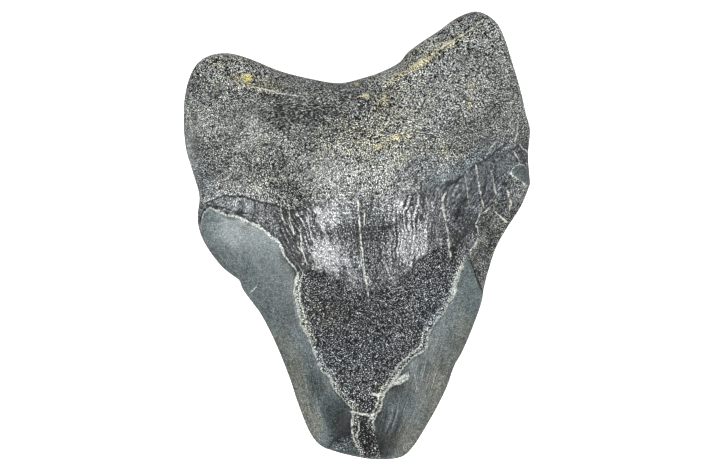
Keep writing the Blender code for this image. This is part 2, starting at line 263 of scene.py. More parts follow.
def ripple(x, y, size, seed):
    """Smooth random ups and downs of about this size, between about -1 and 1."""
    return np.array([noise.noise(Vector((a, b, seed))) for a, b in zip(x / size, y / size)])


def crowded(share):
    """Shares from 0 to 1, closer together near both ends, where the tooth's edges are round."""
    return share - EDGE_CROWDING * np.sin(2 * np.pi * share) / (2 * np.pi)


def joined_grids():
    """Two unit grids, one above the other and facing apart, joined along their borders.

    The mesh attribute upper is 1 on the one that becomes the thick inner face.
    """
    bm = bmesh.new()
    upper = bm.verts.layers.float.new("upper")
    bmesh.ops.create_grid(bm, x_segments=COLUMNS, y_segments=ROWS, size=0.5)
    lower = bmesh.ops.duplicate(bm, geom=bm.verts[:] + bm.edges[:] + bm.faces[:])["geom"]
    bmesh.ops.reverse_faces(bm, faces=[part for part in lower if isinstance(part, bmesh.types.BMFace)])
    lower = {part for part in lower if isinstance(part, bmesh.types.BMVert)}
    for vert in bm.verts:
        vert[upper] = vert not in lower
    border = [vert for vert in bm.verts if vert.is_boundary]
    bmesh.ops.remove_doubles(bm, verts=border, dist=TINY)
    mesh = bpy.data.meshes.new("fossil_tooth")
    bm.to_mesh(mesh)
    bm.free()
    return mesh


sides = outline_sides()
tooth_mesh = joined_grids()
count = len(tooth_mesh.vertices)
unit = np.empty(count * 3)
tooth_mesh.vertices.foreach_get("co", unit)
unit = unit.reshape(-1, 3)
is_upper = np.empty(count, np.float32)
tooth_mesh.attributes["upper"].data.foreach_get("value", is_upper)

x, y = inside_outline(sides, crowded(unit[:, 0] + 0.5), crowded(0.5 - unit[:, 1]))
from_left, from_right = distance_to(sides[3], x, y), distance_to(sides[1], x, y)
side = np.minimum(from_left, from_right)
from_left = distance_to(np.array([point for point in sides[3] if not in_nick(point)]), x, y)
basal, tip = distance_to(sides[0], x, y), distance_to(sides[2], x, y)
edge = np.minimum(np.minimum(side, basal), tip)
across = (from_left - from_right) / (from_left + from_right)
off_centre = np.abs(across)
down = basal / (basal + tip)

# -----------------------------------------------------------------------------
# The tooth: borders between its tissues.
# Each region is a polygon that runs out past the outline. Its border is frayed a little, and the
# ledges of the mesh and the colours of the material both follow the frayed border.

OUTSIDE = 60.0
ROOT_BORDER = [
    (-OUTSIDE, 7.4), (-34.2, 7.4), (-32, 8.1), (-29.7, 9), (-25.2, 8.8), (-22.3, 7.7), (-19.6, 7.2),
    (-16.2, 6.1), (-15.1, 5.6), (-12.8, 6.5), (-6.1, 7.9), (0.7, 8.6), (7.4, 8.6), (11.9, 9),
    (16.4, 10.6), (21.4, 12.4), (23.6, 14.2), (26.6, 15.8), (29.9, 17.3), (33.3, 19.1), (36.7, 20.7),
    (OUTSIDE, 24),
]
DENTINE_BORDER = [
    (-OUTSIDE, -8.3), (-13.3, -8.3), (-9.2, -8.1), (-6.1, -9.2), (-2.9, -10.6), (-1.1, -11.7),
    (1.8, -12.6), (5.2, -12.2), (8.6, -11), (9.7, -9.9), (11.7, -8.6), (13.7, -5.6), (17.8, -2.9),
    (21.4, -2.7), (24.5, -4.3), (26.3, -8.6), (28.1, -12.2), (OUTSIDE, -14),
]
LEFT_ENAMEL = [
    (-OUTSIDE, -0.6), (-35.7, 0.4), (-34.9, 3.2), (-34.3, 4.9), (-33.2, 6.2), (-31.5, 5.4), (-28.8, 4.3),
    (-26.1, 3.6), (-24.5, 2.7), (-22.7, 2), (-21.2, 1.4), (-20, 0.2), (-18.7, -0.7), (-17.5, -1.8),
    (-17.1, -3.1), (-16.4, -4.7), (-15.1, -6.1), (-13.3, -8.6), (-13.9, -10.1), (-14, -12.4),
    (-13.3, -17.3), (-12.5, -19.8), (-11.2, -22.1), (-10.4, -24.5), (-9.7, -26.1), (-9, -28.1),
    (-7.9, -30.6), (-6.5, -31.5), (-5.6, -33.1), (-5.2, -34.6), (-4, -36), (-2.7, -37.4), (-0.9, -38.9),
    (-1.2, -41), (-1.2, -45), (-0.5, -47.4), (0.5, -49.2), (0.8, -OUTSIDE), (-OUTSIDE, -OUTSIDE),
]
RIGHT_ENAMEL = [
    (24.9, -5.1), (24.3, -5.4), (23.2, -7.9), (22.1, -11.2), (21.4, -13.9), (20.7, -14.8), (19.4, -17.8),
    (18.2, -18.5), (17.3, -19.8), (16.5, -21.6), (15.8, -22.7), (15.7, -25.4), (14.2, -26.6),
    (12.6, -27.2), (11.3, -28.6), (10.3, -29.7), (9.4, -31.1), (7.9, -33.5), (6.5, -35.1), (5.4, -38.3),
    (4.5, -40.5), (3.8, -42.1), (4, -44.3), (4.9, -46.4), (6.1, -OUTSIDE), (OUTSIDE, -OUTSIDE),
    (OUTSIDE, -14.6), (28.6, -12.6), (28, -12.4), (26.6, -9.4), (25.8, -6.8),
]
ENAMEL_REMNANT = [
    (34.4, 13.8), (35.1, 15), (36.4, 15.8), (37.4, 15.5), (38.6, 13.9), (42, 12), (42, 10), (38.4, 10.9),
]
CHIP = [(7, -34.4), (7.9, -33.5), (9.7, -31.7), (11.5, -30.8), (11.7, -32.2), (9.7, -33.3)]
BROKEN_SHOULDER = [
    (28.4, 6.8), (29.4, 6.1), (30.6, 7.9), (32.4, 8.6), (33.8, 10.1), (34.4, 13.6), (38.6, 10.9),
    (OUTSIDE, 9), (OUTSIDE, -16.9), (32.2, -16.9), (28.4, -12.8), (26.6, -9.4), (25.8, -6.8),
    (24.9, -5.1), (25.2, -3.6), (26.9, -1.6), (27.2, 0.7), (26.6, 2.3), (27.6, 4.7),
]
LABIAL_ENAMEL_BORDER = [
    (-OUTSIDE, 9), (-36, 9), (-25, 10.5), (-10, 12.4), (5, 14.6), (20, 17.8), (38.5, 19), (OUTSIDE, 19),
]
FRAY_SIZES = ((3.1, 0.3), (1.3, 0.16))
# The root passes into the band with no clear border in the middle.
BLUR_MIDDLE, BLUR_REACH, BLUR_WIDTH = 2.0, 11.0, 3.0
# Towards the tip the enamel's ledges are worn to gentle slopes.
TIP_BLUR, TIP_BLUR_START, TIP_BLUR_FULL = 3.0, 11.0, 6.0
# How much more the band's border and the outer face's border are frayed.
BAND_FRAY, LABIAL_FRAY = 2, 3


def below(border):
    """The polygon of everything between a border and the tip."""
    return border + [(OUTSIDE, -OUTSIDE), (-OUTSIDE, -OUTSIDE)]


def ripples(sizes, seed=0.0):
    """Ripples of several (size, height) laid over each other."""
    return sum(height * ripple(x, y, size, seed + size) for size, height in sizes)


fray = ripples(FRAY_SIZES)
lingual_root = -depth_inside(below(ROOT_BORDER), x, y) + fray
labial_root = -depth_inside(below(LABIAL_ENAMEL_BORDER), x, y) + LABIAL_FRAY * fray
root = np.where(is_upper > 0.5, lingual_root, labial_root)
remnant = depth_inside(ENAMEL_REMNANT, x, y)
chip = depth_inside(CHIP, x, y) + fray
lingual_enamel = np.maximum(depth_inside(LEFT_ENAMEL, x, y), depth_inside(RIGHT_ENAMEL, x, y)) + fray
lingual_enamel = np.maximum(lingual_enamel, remnant)
enamel = np.where(is_upper > 0.5, lingual_enamel, -labial_root)
band = -depth_inside(below(DENTINE_BORDER), x, y) + BAND_FRAY * fray
shoulder = np.where(is_upper > 0.5, depth_inside(BROKEN_SHOULDER, x, y) + fray, -OUTSIDE)
blurred = np.exp(-(((x - BLUR_MIDDLE) / BLUR_REACH) ** 2))

# -----------------------------------------------------------------------------
# The tooth: relief.
# The root is a thick dome with upright rounded sides, and the crown a lens with worn edges. On that
# lie the ledges between the tissues, two creases below the basal margin, pits, lumps and grain.

RIM_HEIGHT = ((0, 5.5), (0.12, 8), (0.25, 7.2), (0.36, 5.8), (0.6, 4), (1, 3.5))
LINGUAL_RISE = (
    (0, 8.6), (0.04, 9.6), (0.1, 11.4), (0.24, 15.3), (0.31, 15.2), (0.45, 13.8), (0.6, 11.9),
    (0.8, 8.7), (0.94, 6), (1, 5),
)
LABIAL_MIDDLE = (
    (0, 3.4), (0.15, 2), (0.28, 0.8), (0.42, -0.1), (0.58, -0.5), (0.74, 0), (0.9, 0.9), (1, 1.7),
)
LABIAL_SIDES = (
    (0, -0.5), (0.13, -3.6), (0.22, -1.6), (0.32, 1.6), (0.45, 2.8), (0.6, 2.9), (0.8, 2.6), (1, 2.7),
)
ROOT_SIDE_RADIUS, ROOT_WALL_SHARE, ROOT_DOME_POWER = 7.0, 0.36, 2.4
CROWN_WALL_RADIUS, CROWN_WALL_SHARE, CROWN_DOME_POWER = 1.0, 0.07, 1.9
CROWN_START, CROWN_FULL = 0.25, 0.42
BASAL_RADIUS, TIP_RADIUS = 4.0, 2.2
LOBE_THINNING, LOBE_REACH = 0.2, 0.3
LABIAL_ROOT_RADIUS, LABIAL_CROWN_RADIUS = 5.0, 1.5
ROOT_STEP, ENAMEL_STEP, BAND_STEP, LABIAL_ENAMEL_STEP = 0.8, 0.9, 0.45, 0.6
LEDGE_WIDTH = 0.55
CHIP_DEPTH, CHIP_EDGE = 0.4, 0.3
SHOULDER_SLOPE, SHOULDER_LIP, REMNANT_EDGE = 0.45, 0.5, 0.15
LEFT_RIDGE = [(-31.9, 36), (-29.5, 34.9), (-26.3, 33.8), (-20.2, 32.4), (-12.8, 31.5)]
RIGHT_RIDGE = [
    (28.4, 47.9), (25.4, 45.7), (21, 43), (18.1, 41.1), (12.7, 37.5), (9.5, 35.9), (7, 34.2),
]
RIDGE_HEIGHT, RIDGE_WIDTH = 0.9, 1.3
HOLLOW_DROP, HOLLOW_DEPTH, HOLLOW_WIDTH = 3.6, 0.9, 2.6
LINGUAL_PITS = [
    (-20.5, 26, 1.3, 0.7), (-9, 20.5, 1.1, 0.6), (5.2, 19.8, 1.4, 0.8), (15.5, 29, 1.2, 0.7),
    (27.5, 33.5, 1.3, 0.7), (-29, 17, 1.2, 0.6), (22, 20, 1.1, 0.6), (32, 18.5, 1.2, 0.8),
]
LABIAL_PITS = [
    (-14, 24, 1.3, 0.7), (-2, 21.5, 1.6, 1), (9, 25.5, 1.2, 0.7), (19.5, 29.5, 1.3, 0.7),
    (-24, 18.5, 1.1, 0.6), (3.5, 29.5, 1.1, 0.6),
]
LUMP_SIZES = ((7, 1), (3, 0.5))
ROOT_LUMP, CROWN_LUMP, LUMP_EDGE = 0.42, 0.16, 3.0
LINGUAL_SEED, LABIAL_SEED = 3.7, 11.3
# Grain as (size, height) on the porous root, with less of it on the bared dentine, and on the break.
GRAIN_SIZES, LABIAL_GRAIN_SEED, DENTINE_GRAIN = ((1.7, 0.07), (0.95, 0.06)), 3.0, 0.85
BREAK_SIZES, BREAK_SEED, BREAK_EDGE = ((3.4, 0.34), (1.5, 0.2)), 7.0, 1.5
FURROW_SIZE, FURROW_DEPTH, FURROW_SHARPNESS, FURROW_SEED = 1.1, 0.07, 4, 5.1
FURROWS_ACROSS, FURROWS_DOWN = 33.0, 9.0


def ledge(depth, extra=0.0):
    """0 outside a region and 1 inside it, with the ledge's width between."""
    half = (LEDGE_WIDTH + extra) / 2
    return ramp(depth, -half, half)


def pits(holes):
    """How deep the small holes are at each place."""
    depth = np.zeros(count)
    for hole_x, hole_y, radius, hole_depth in holes:
        share = np.hypot(x - hole_x, y - hole_y) / radius
        depth = np.maximum(depth, hole_depth * np.clip(1 - share**2, 0, 1))
    return depth


def lumps(seed):
    """Broad weathering lumps, fading out at the tooth's edge."""
    return ripples(LUMP_SIZES, seed) * mix(ROOT_LUMP, CROWN_LUMP, crown) * ramp(edge, 0, LUMP_EDGE)


def lingual_dome():
    """The inner face before it broke and wore."""
    from_margin = basal / np.maximum(basal + side, TINY)
    radius = mix(BASAL_RADIUS, ROOT_SIDE_RADIUS, ramp(from_margin, 0, 1))
    ends = quarter_round(basal, BASAL_RADIUS) * quarter_round(tip, TIP_RADIUS)
    root_form = ROOT_WALL_SHARE * quarter_round(edge, radius)
    root_form += (1 - ROOT_WALL_SHARE) * (1 - off_centre**ROOT_DOME_POWER) * ends
    root_form *= 1 - LOBE_THINNING * off_centre**2 * (1 - ramp(down, 0, LOBE_REACH))
    crown_form = CROWN_WALL_SHARE * quarter_round(edge, CROWN_WALL_RADIUS)
    nicked = quarter_round(side, CROWN_WALL_RADIUS)
    crown_form += (1 - CROWN_WALL_SHARE) * (1 - off_centre**CROWN_DOME_POWER) * ends * nicked
    return profile(down, LINGUAL_RISE) * mix(root_form, crown_form, crown)


def basal_ridges():
    """The two creases under the basal margin, each with a hollow on the side of the tip."""
    relief = np.zeros(count)
    for ridge in (LEFT_RIDGE, RIGHT_RIDGE):
        on_ridge = distance_to(ridge, x, y) / RIDGE_WIDTH
        in_hollow = distance_to(ridge, x, y + HOLLOW_DROP) / HOLLOW_WIDTH
        relief += RIDGE_HEIGHT * np.exp(-(on_ridge**2)) - HOLLOW_DEPTH * np.exp(-(in_hollow**2))
    return relief


def lingual_height():
    """The upper face: root, dense band, bared dentine, and the enamel left on both sides."""
    on_root, on_band = ledge(root, BLUR_WIDTH * blurred), ledge(band)
    on_enamel = ledge(enamel, TIP_BLUR * ramp(tip, TIP_BLUR_START, TIP_BLUR_FULL))
    relief = mix(mix(BAND_STEP * on_band, ENAMEL_STEP, on_enamel), BAND_STEP + ROOT_STEP, on_root)
    relief += basal_ridges() - pits(LINGUAL_PITS)
    relief += mix(mix(DENTINE_GRAIN, 0, on_enamel), 1, on_root) * ripples(GRAIN_SIZES)
    furrows = np.abs(ripple(across * FURROWS_ACROSS, down * FURROWS_DOWN, FURROW_SIZE, FURROW_SEED))
    furrows = FURROW_DEPTH * (1 - FURROW_SHARPNESS * furrows)
    relief -= furrows * on_band * (1 - on_root) * (1 - on_enamel)
    worn = rim + lingual_dome() + lumps(LINGUAL_SEED)
    worn += relief * quarter_round(edge, CROWN_WALL_RADIUS)
    worn -= CHIP_DEPTH * ramp(chip, -CHIP_EDGE, CHIP_EDGE)
    broken = np.maximum(shoulder, 0) * SHOULDER_SLOPE
    rough = ripples(BREAK_SIZES, BREAK_SEED) * ramp(shoulder, 0, BREAK_EDGE) * ramp(edge, 0, BREAK_EDGE)
    floor = np.minimum(rim + SHOULDER_LIP * edge, worn)
    chipped = np.maximum(worn - broken, floor) + rough
    return mix(np.where(shoulder > 0, chipped, worn), worn, ramp(remnant, -REMNANT_EDGE, REMNANT_EDGE))


def labial_height():
    """The lower face: almost flat, resting on the crown's belly and on a pad under each root lobe."""
    middle, flank = profile(down, LABIAL_MIDDLE), profile(down, LABIAL_SIDES)
    face = middle + (flank - middle) * off_centre**2 + LABIAL_ENAMEL_STEP * ledge(labial_root)
    face -= ledge(labial_root) * ripples(GRAIN_SIZES, LABIAL_GRAIN_SEED)
    face += pits(LABIAL_PITS) + lumps(LABIAL_SEED)
    radius = mix(LABIAL_ROOT_RADIUS, LABIAL_CROWN_RADIUS, crown)
    return np.maximum(rim + (face - rim) * quarter_round(edge, radius), 0)


rim = profile(down, RIM_HEIGHT)
crown = ramp(down, CROWN_START, CROWN_FULL)
z = np.where(is_upper > 0.5, lingual_height(), labial_height())
tooth_mesh.vertices.foreach_set("co", (np.stack([x, y, z], axis=-1) * MM).ravel())

# -----------------------------------------------------------------------------
# The tooth: stains, tones, painted light and shade, and cracks.
# Ochre sand is stuck in the crease below the basal margin, tan minerals colour the root, and broad
# patches of each tissue are lighter or darker, partly their own tone and partly painted shade and
# painted highlights. Painted shadows lie under the creases. Fine cracks run through all of them.

# Soft patches as (x, y, half width, half height, strength), by what they change.
PATCHES = {
    # Ochre sand.
    "ochre": (
        (-24.5, 35, 1, 1, 1.8), (-26.6, 35.4, 2, 1.2, 0.45), (13, 38.1, 2, 0.7, 0.3),
        (20.5, 42.9, 1.5, 0.6, 0.6), (-0.2, 33.7, 0.6, 0.6, 1), (2.1, 31.2, 0.7, 0.6, 1.1),
        (0.8, 30.8, 0.9, 0.4, 0.6), (6, 30.3, 0.5, 1.1, 0.6), (9.1, 26.4, 0.7, 0.6, 0.6),
        (4.7, 19.4, 0.8, 0.6, 1.3), (8.8, 21.7, 1.4, 0.7, 1), (25.7, 33.5, 0.7, 0.6, 0.7),
        (25.1, 29, 0.6, 0.9, 0.6), (2.6, 16.4, 0.7, 0.7, 0.5), (6.6, -34.6, 0.8, 0.6, 0.8),
        (-3, 25.5, 1, 0.7, 0.4), (10.5, 16.8, 1, 0.6, 0.3),
    ),
    # Browner (over 0) or bluer (under 0) than elsewhere.
    "tan": (
        (4.5, 21, 12, 6, 0.55), (12, 15, 5, 3, -0.3), (-9, 19, 6, 3, 0.1), (27, 30, 6, 8, 0.2),
        (-30, 34, 5, 3, 0.2), (35.3, 28.6, 2.5, 4.5, 0.25), (20.9, 18.5, 3, 2.5, 0.5),
        (14, 40.5, 8, 2.5, 0.5), (-20, 33.5, 6, 1.5, 0.5), (6.6, -34.6, 3, 1.5, 0.8),
        (-7.5, -18.5, 6, 5, 0.5), (32.5, 14.5, 7, 5, -0.8), (-28, 27, 6, 4, 0.15), (19, 25, 5, 3.5, -0.3),
        (-22.5, 21.5, 3.5, 3, 0.35), (-20, 12.5, 5, 3, 0.2), (-34.5, 13.5, 3, 5, -0.4),
        (-30, 39, 4, 2, 0.4), (-22, 35.8, 3, 1.5, 0.3), (6.5, 30.5, 3.5, 4, 0.6), (14, 28, 3, 5, 0.3),
        (20, 38, 2.5, 2.5, -0.4), (26.5, 8, 9, 8, -1), (17, -17, 4, 8, -0.9), (21, 11.5, 4, 2.5, -0.5),
        (-2, -7.4, 5, 2, -0.9), (1, -26, 7, 4, -0.8), (-8, -29.5, 2.5, 4, -0.8),
    ),
    # Enamel that is more olive (over 0) or bluer (under 0).
    "olive": (
        (-16.5, -32, 3.2, 8, 0.7), (-13, -38, 3, 5, 0.9), (-10, -43.5, 3, 4, 1),
        (18.5, -36, 4.5, 12, 1.1), (12.5, -46, 3.5, 5, 1), (24, -22, 3, 8, 0.6),
        (-25.5, 2.2, 4, 1.5, 0.6), (-31.5, -5.5, 3, 3, 0.4), (-5, -39, 4, 6, -0.9),
        (-13.5, -31, 2.6, 7, 0.6), (-23, -4.5, 5, 4, -1), (9.5, -33, 3, 3, 0.5), (25, -25, 3, 5, 0.3),
        (9.5, -46.5, 3, 3.5, 0.6), (-17, -22.5, 2, 4, 0.45), (-9.6, -42, 2.5, 4, 0.5),
    ),
    # Lighter (over 0) or darker (under 0): partly each tissue's own tone, and partly painted light: painted
    # shade on slopes turned from the lights and in the band's dark middle, and painted highlights such as
    # the sheen on the upper left of the enamel.
    "tone_and_painted_light": (
        (-14, 26.5, 9, 4, -0.5), (-6, 29, 9, 4, -0.2), (-1, 15, 12, 4, 0.2), (-30, 24.5, 4, 5, 0.2),
        (37.5, 22.3, 1.8, 5, -0.5), (27, 19, 9, 3, -0.35), (-29.5, 38.6, 7, 2.4, -0.2),
        (-32.5, 34.5, 4, 4, -0.4), (-23, 31.4, 8, 2, -0.7), (-23, 26, 2.6, 4.8, 0.9),
        (-33, 15.5, 4.5, 4, -0.55), (-16.5, 11.5, 4.5, 5, -0.65), (-11.6, 9.8, 4.2, 2.8, -1.3),
        (-19.5, 18, 5, 4, -0.3), (-7, 15, 4, 3.8, 0.65), (7, 14.2, 3.2, 2.6, 0.45),
        (11.7, 12.8, 3.5, 3.5, -0.5), (2, 28, 6, 4, -0.3), (12.5, 29.5, 4.5, 6.5, 0.4),
        (15, 23.6, 3, 2.2, 0.3), (24.3, 40.2, 2.5, 2, 0.35), (24, 44.5, 7, 2, -0.3),
        (30.5, 28, 2.6, 4, -0.35), (9, 36.6, 3.5, 1.6, 0.5), (-35, 28.5, 2.5, 5, 0.25),
        (-7.5, 21.6, 3, 2.5, -0.8), (-9, 18.5, 3, 2, -0.2), (-22.5, 15.5, 3, 3, -0.3),
        (16, 43, 3, 1.6, 0.5), (26.5, 46.1, 3, 2.5, -0.3), (-35.8, 37.2, 3.5, 3.2, -1.3),
        (-34.2, 20.5, 3, 5, -0.35), (-17, 14.5, 2.5, 2.5, -0.4), (-13, -6.3, 2.6, 3, -1.1),
        (24, 23.6, 4.5, 3, -0.5), (3.4, 26.7, 3.2, 2.2, -1), (-16.8, 34, 3.5, 2, 0.65),
        (-21.8, 28.8, 2, 3, 0.5), (-3.5, 33, 7, 2, 0.4), (20.8, 31.5, 4, 3.5, 0.45),
        (36.2, 27.7, 2.5, 5, 0.6), (32.2, 22.6, 2.5, 2.5, 0.4), (-4.2, 12, 3, 3, 0.7),
        (7, 21.8, 3, 2.5, -0.35), (20, 12.2, 6, 2.5, 0.45), (0.8, -43, 3.8, 3, -1.2),
        (-1, -48.6, 2.5, 1.6, -0.5), (7, -47.6, 3.5, 2.2, -0.6), (-14.5, -19, 2, 4, -0.25),
        (11.7, -13.7, 2.5, 2.5, 0.4), (1.4, -36.9, 3, 2.5, -1.1), (11.9, -38.3, 2, 3.5, -0.25),
        (-29.7, 4.8, 8, 1.5, 0.3), (16.8, -4.2, 3, 3, 0.5), (-1.6, -6.8, 3.5, 2.5, 0.35),
        (25.4, 0, 5, 3, 0.2), (-29.8, 7.4, 5, 2, 0.9), (35, 9.3, 2.5, 3, 0.6), (-19.5, -1, 3.5, 4, 0.35),
        (28.5, -14, 2, 4, 0.3), (-28, 16.5, 3, 2, -0.4), (-18, 17, 3, 4, -0.3), (-23, 9.8, 8, 1.4, 0.3),
        (-7.5, -7.6, 6, 1.8, -1.3), (-18, 2, 2, 4, 0.4), (35.8, 13.5, 2, 2.5, 0.35),
        (7.2, 5.2, 3, 3, 0.5), (-2.6, 5.6, 2.4, 2.4, 0.8), (-9, 0.9, 2.6, 1.8, 0.5),
        (32, 16.5, 6, 3.5, 0.45), (17.5, 5, 5, 4, 0.2), (26.5, 7, 3.5, 5, 0.3), (-23, 6, 5.5, 1.3, 0.85),
        (-15.6, 4, 3, 5, -0.9), (-15, -4.5, 2.8, 4, -0.7), (4.5, 0.8, 5, 2.2, -0.9),
        (-4.5, 0.2, 3.5, 1.2, -0.5), (11.9, 2.9, 3, 1, -0.5), (22, -2.4, 2.4, 2.4, -0.8),
        (25, 4, 5, 6, -0.3), (-12.2, -14.5, 1.4, 6.5, 0.6), (-3.5, -12.6, 4.5, 1.2, 0.5),
        (2, -20, 6, 5, -0.2), (-3, -13, 6, 3, -0.3), (-28.5, 0.5, 4.5, 4, 0.4), (-34, 2.5, 2, 3, 0.25),
        (-14.2, -21.8, 0.8, 0.8, 0.5), (-9.2, -33.2, 1.5, 2.6, -0.9), (-7, -37.5, 2.2, 3.2, -0.6),
        (-3.9, -41.6, 2.8, 3.6, -2.1), (-3.6, -44.6, 2.6, 1.8, -1.5), (-3, -47.6, 2.6, 1.8, -0.6),
        (-12.8, -37.5, 2.4, 6, 0.3), (-9.6, -43.5, 2.6, 3.6, 0.45), (9.2, -31.6, 3, 3, -1.1),
        (9.5, -35.5, 4.5, 3.5, -0.5), (7.3, -42, 4.5, 4.5, -1), (5, -47, 3.8, 3.2, -1.2),
        (18.7, -35, 2.5, 5.5, 0.2), (13.6, -43, 3.2, 4, 0.3), (10.4, -47.9, 2.6, 2, 0.6),
        (2.4, -46, 2.5, 4, -0.5), (20, -14, 4, 5, 0.25), (-29.5, -3.5, 5, 2, -0.25),
        (-29.7, -0.3, 3.5, 2.5, 0.2), (-31.5, -7, 3, 2, -0.3), (24.8, 2.9, 1.6, 2.2, -0.6),
        (22.2, -0.2, 1.8, 2.4, -0.9), (26.6, -0.8, 1.5, 2, 0.4), (24.6, -3.6, 2.2, 2, 0.5),
        (-25.5, -8.2, 4, 1.8, -0.3), (-24.5, -2, 4.5, 3, 0.25), (-27, 7.4, 5, 1.2, 0.3),
        (-29.5, 38.2, 4, 1.8, -0.55), (-24.5, 20.8, 4.5, 3.2, 0.45), (25.5, 46.6, 5, 2.5, -0.35),
        (18.5, 38.3, 3, 2, -0.25), (-13.5, -0.5, 2.5, 4.5, -0.3), (1, 0, 3.5, 3, -0.25),
        (34, 32, 2, 6, 0.2), (-37.4, 27, 1.6, 10, 0.3), (24.5, 23.5, 7, 4, -0.12),
        (10.5, -47, 3, 3, 0.25), (11, -40.5, 3, 3.5, 0.2), (-18.2, -8, 2.2, 2.5, 0.35),
        (-14, -25, 1.3, 4, 0.3), (-6.2, -44.5, 2, 2.5, 0.45), (23, -22.5, 2.5, 7, 0.25),
        (4.6, -47.4, 2, 2.2, -0.8), (7.2, -41.6, 1.5, 2.5, 0.3), (27, -9, 3, 2.5, 0.35),
        (-2.5, -10.4, 4, 2, -0.2), (29, -2, 2, 4, 0.2), (-31, 19.6, 3, 2.5, -0.65),
        (10.3, 33.4, 2.8, 2, -0.75), (-15, 2.3, 2.5, 2.5, -1), (-15.1, -7.3, 1.6, 1.6, 0.75),
        (7, 8.3, 2.2, 1.8, 0.6), (-4.3, -32.8, 1.5, 3, -0.35), (-1, -25, 7, 6, -0.3),
        (14.5, -1, 2, 4, 0.15), (-37.4, 18.3, 1.8, 4.5, 1.1), (26.5, 47.5, 5, 2.5, -0.35),
        (-33.3, 37, 1.8, 1, 0.5), (-30.5, 35.8, 2, 1, 0.4), (2.5, -38.5, 3, 2, -0.25),
        (-6.5, 29.5, 10, 3.5, 0.12),
    ),
    # Polished by wear: more gloss, and on the band a painted sheen that lightens its colour too.
    "polish": (
        (-6, 5.4, 4.6, 3.4, 1.2), (-6.4, -4.5, 4.6, 3.4, 1.35), (8.7, 7.8, 3.8, 3.4, 1),
        (12.2, -2.2, 4.6, 4.6, 1.3), (1, -8.5, 5, 2, 0.4), (-0.5, 13.5, 9, 3.4, 0.5),
        (-29, 1, 5.5, 4.5, 0.9),
    ),
    # Where the grain is fainter (over 0) or coarser (under 0) than elsewhere.
    "smooth": (
        (20, 11.5, 9, 4, 0.9), (32, 17, 7, 6, 0.7), (26, 6, 9, 8, 0.45), (-8, 15, 6, 4.5, 0.6),
        (-26, 24, 6, 5, 0.4), (-33, 12.5, 6, 4, 0.5), (-31, 38.6, 5, 3, -1.3), (-23, 36.8, 5, 2, -0.6),
        (13.5, 41.5, 6, 2.6, -1), (20.5, 45.5, 5, 2.5, -1), (28.5, 46, 4, 4, -0.6),
        (25, 37.5, 8, 6, -0.35), (31.5, 27.5, 4.5, 4, 0.4), (10.5, 16.5, 3, 3, 0.5), (6, 35, 6, 2, -0.6),
        (-14, 28, 9, 4, 0.45), (-3.2, -46.8, 2.4, 2, -1.2), (5.6, -47.8, 2.4, 2.2, -0.4),
        (-4.5, -42, 2.5, 4, -0.4), (-16, 0.5, 2, 4, 0.4), (-25, 20, 10, 3.5, 0.4), (-22, 1.5, 4, 4, 0.35),
        (16.5, 3, 2, 4, 0.4), (-4, -15, 12, 5, 0.3), (1, -36, 5, 3, -0.7), (-26, 5.8, 8, 1.8, 0.8),
        (4, 24.5, 8, 8, -0.6), (13, 31.5, 6, 5, -0.4), (-31, 38.2, 4, 2.6, -0.6), (33, -3, 4, 12, -0.3),
        (22, 22.5, 8, 5, 0.35), (-37, 22, 2, 9, 0.9), (-24, 13, 8, 3, 0.3), (26, 44, 6, 3, -0.35),
    ),
    # Where the grain is drawn out across the tooth.
    "combed": (
        (-14, 28, 9, 4.5, 0.9), (0, 30.5, 7, 2.5, 0.5),
    ),
    # Where the enamel's lengthwise streaks are strong.
    "streaky": (
        (8, -40, 4, 8, 0.9), (15, -30, 5, 9, 0.5), (-9, -36, 4, 10, 0.4),
    ),
    # Fine lengthwise pleats of the band, drawn in colour only: painted light on their crests and painted
    # shade in their troughs.
    "pleats": (
        (-13.5, 1, 3.8, 6.5, 1), (11.5, -1, 4.5, 6.5, 0.8), (11, 8, 4, 3, 0.6), (24, 8, 7, 5, 0.35),
    ),
    # How wide the cream line of broken enamel is, in mm off its middle width.
    "seam": (
        (-23, 1.5, 8, 6, 0.1), (22.3, -10, 3.5, 6, 0.3), (-13, -15, 3, 8, 0.08),
        (-34.5, 3, 2.5, 4, -0.12), (36, 14, 2.5, 2.5, -0.08), (8, -33, 3, 3, 0.08),
    ),
    # Where a second line follows the cream one.
    "double": (
        (12.5, -26.5, 5, 7, 1), (5, -37, 4, 5, 1), (-6, -33, 5, 5, 0.3), (-12.5, -15, 3, 7, 0.9),
    ),
}
# Strips along the two creases, as (crease, width, where along the tooth's width, how far it reaches from
# there, strength, how far below the crease): first pale crust and the painted shadow under it, then sand.
CRUST_AND_SHADOW_STRIPS = (
    (LEFT_RIDGE, 0.45, -21, 9, 0.9, 0), (RIGHT_RIDGE, 0.45, 0, OUTSIDE, 1.5, 0),
    (LEFT_RIDGE, 0.6, -21, 9, -1.3, 1.3), (RIGHT_RIDGE, 0.6, 18, 14, -1.5, 1.3),
)
SAND_STRIPS = ((LEFT_RIDGE, 0.95, -22, 6, 0.35, 0), (RIGHT_RIDGE, 0.95, 15.5, 12, 0.62, 0))
STRIP_FRAY = 0.8
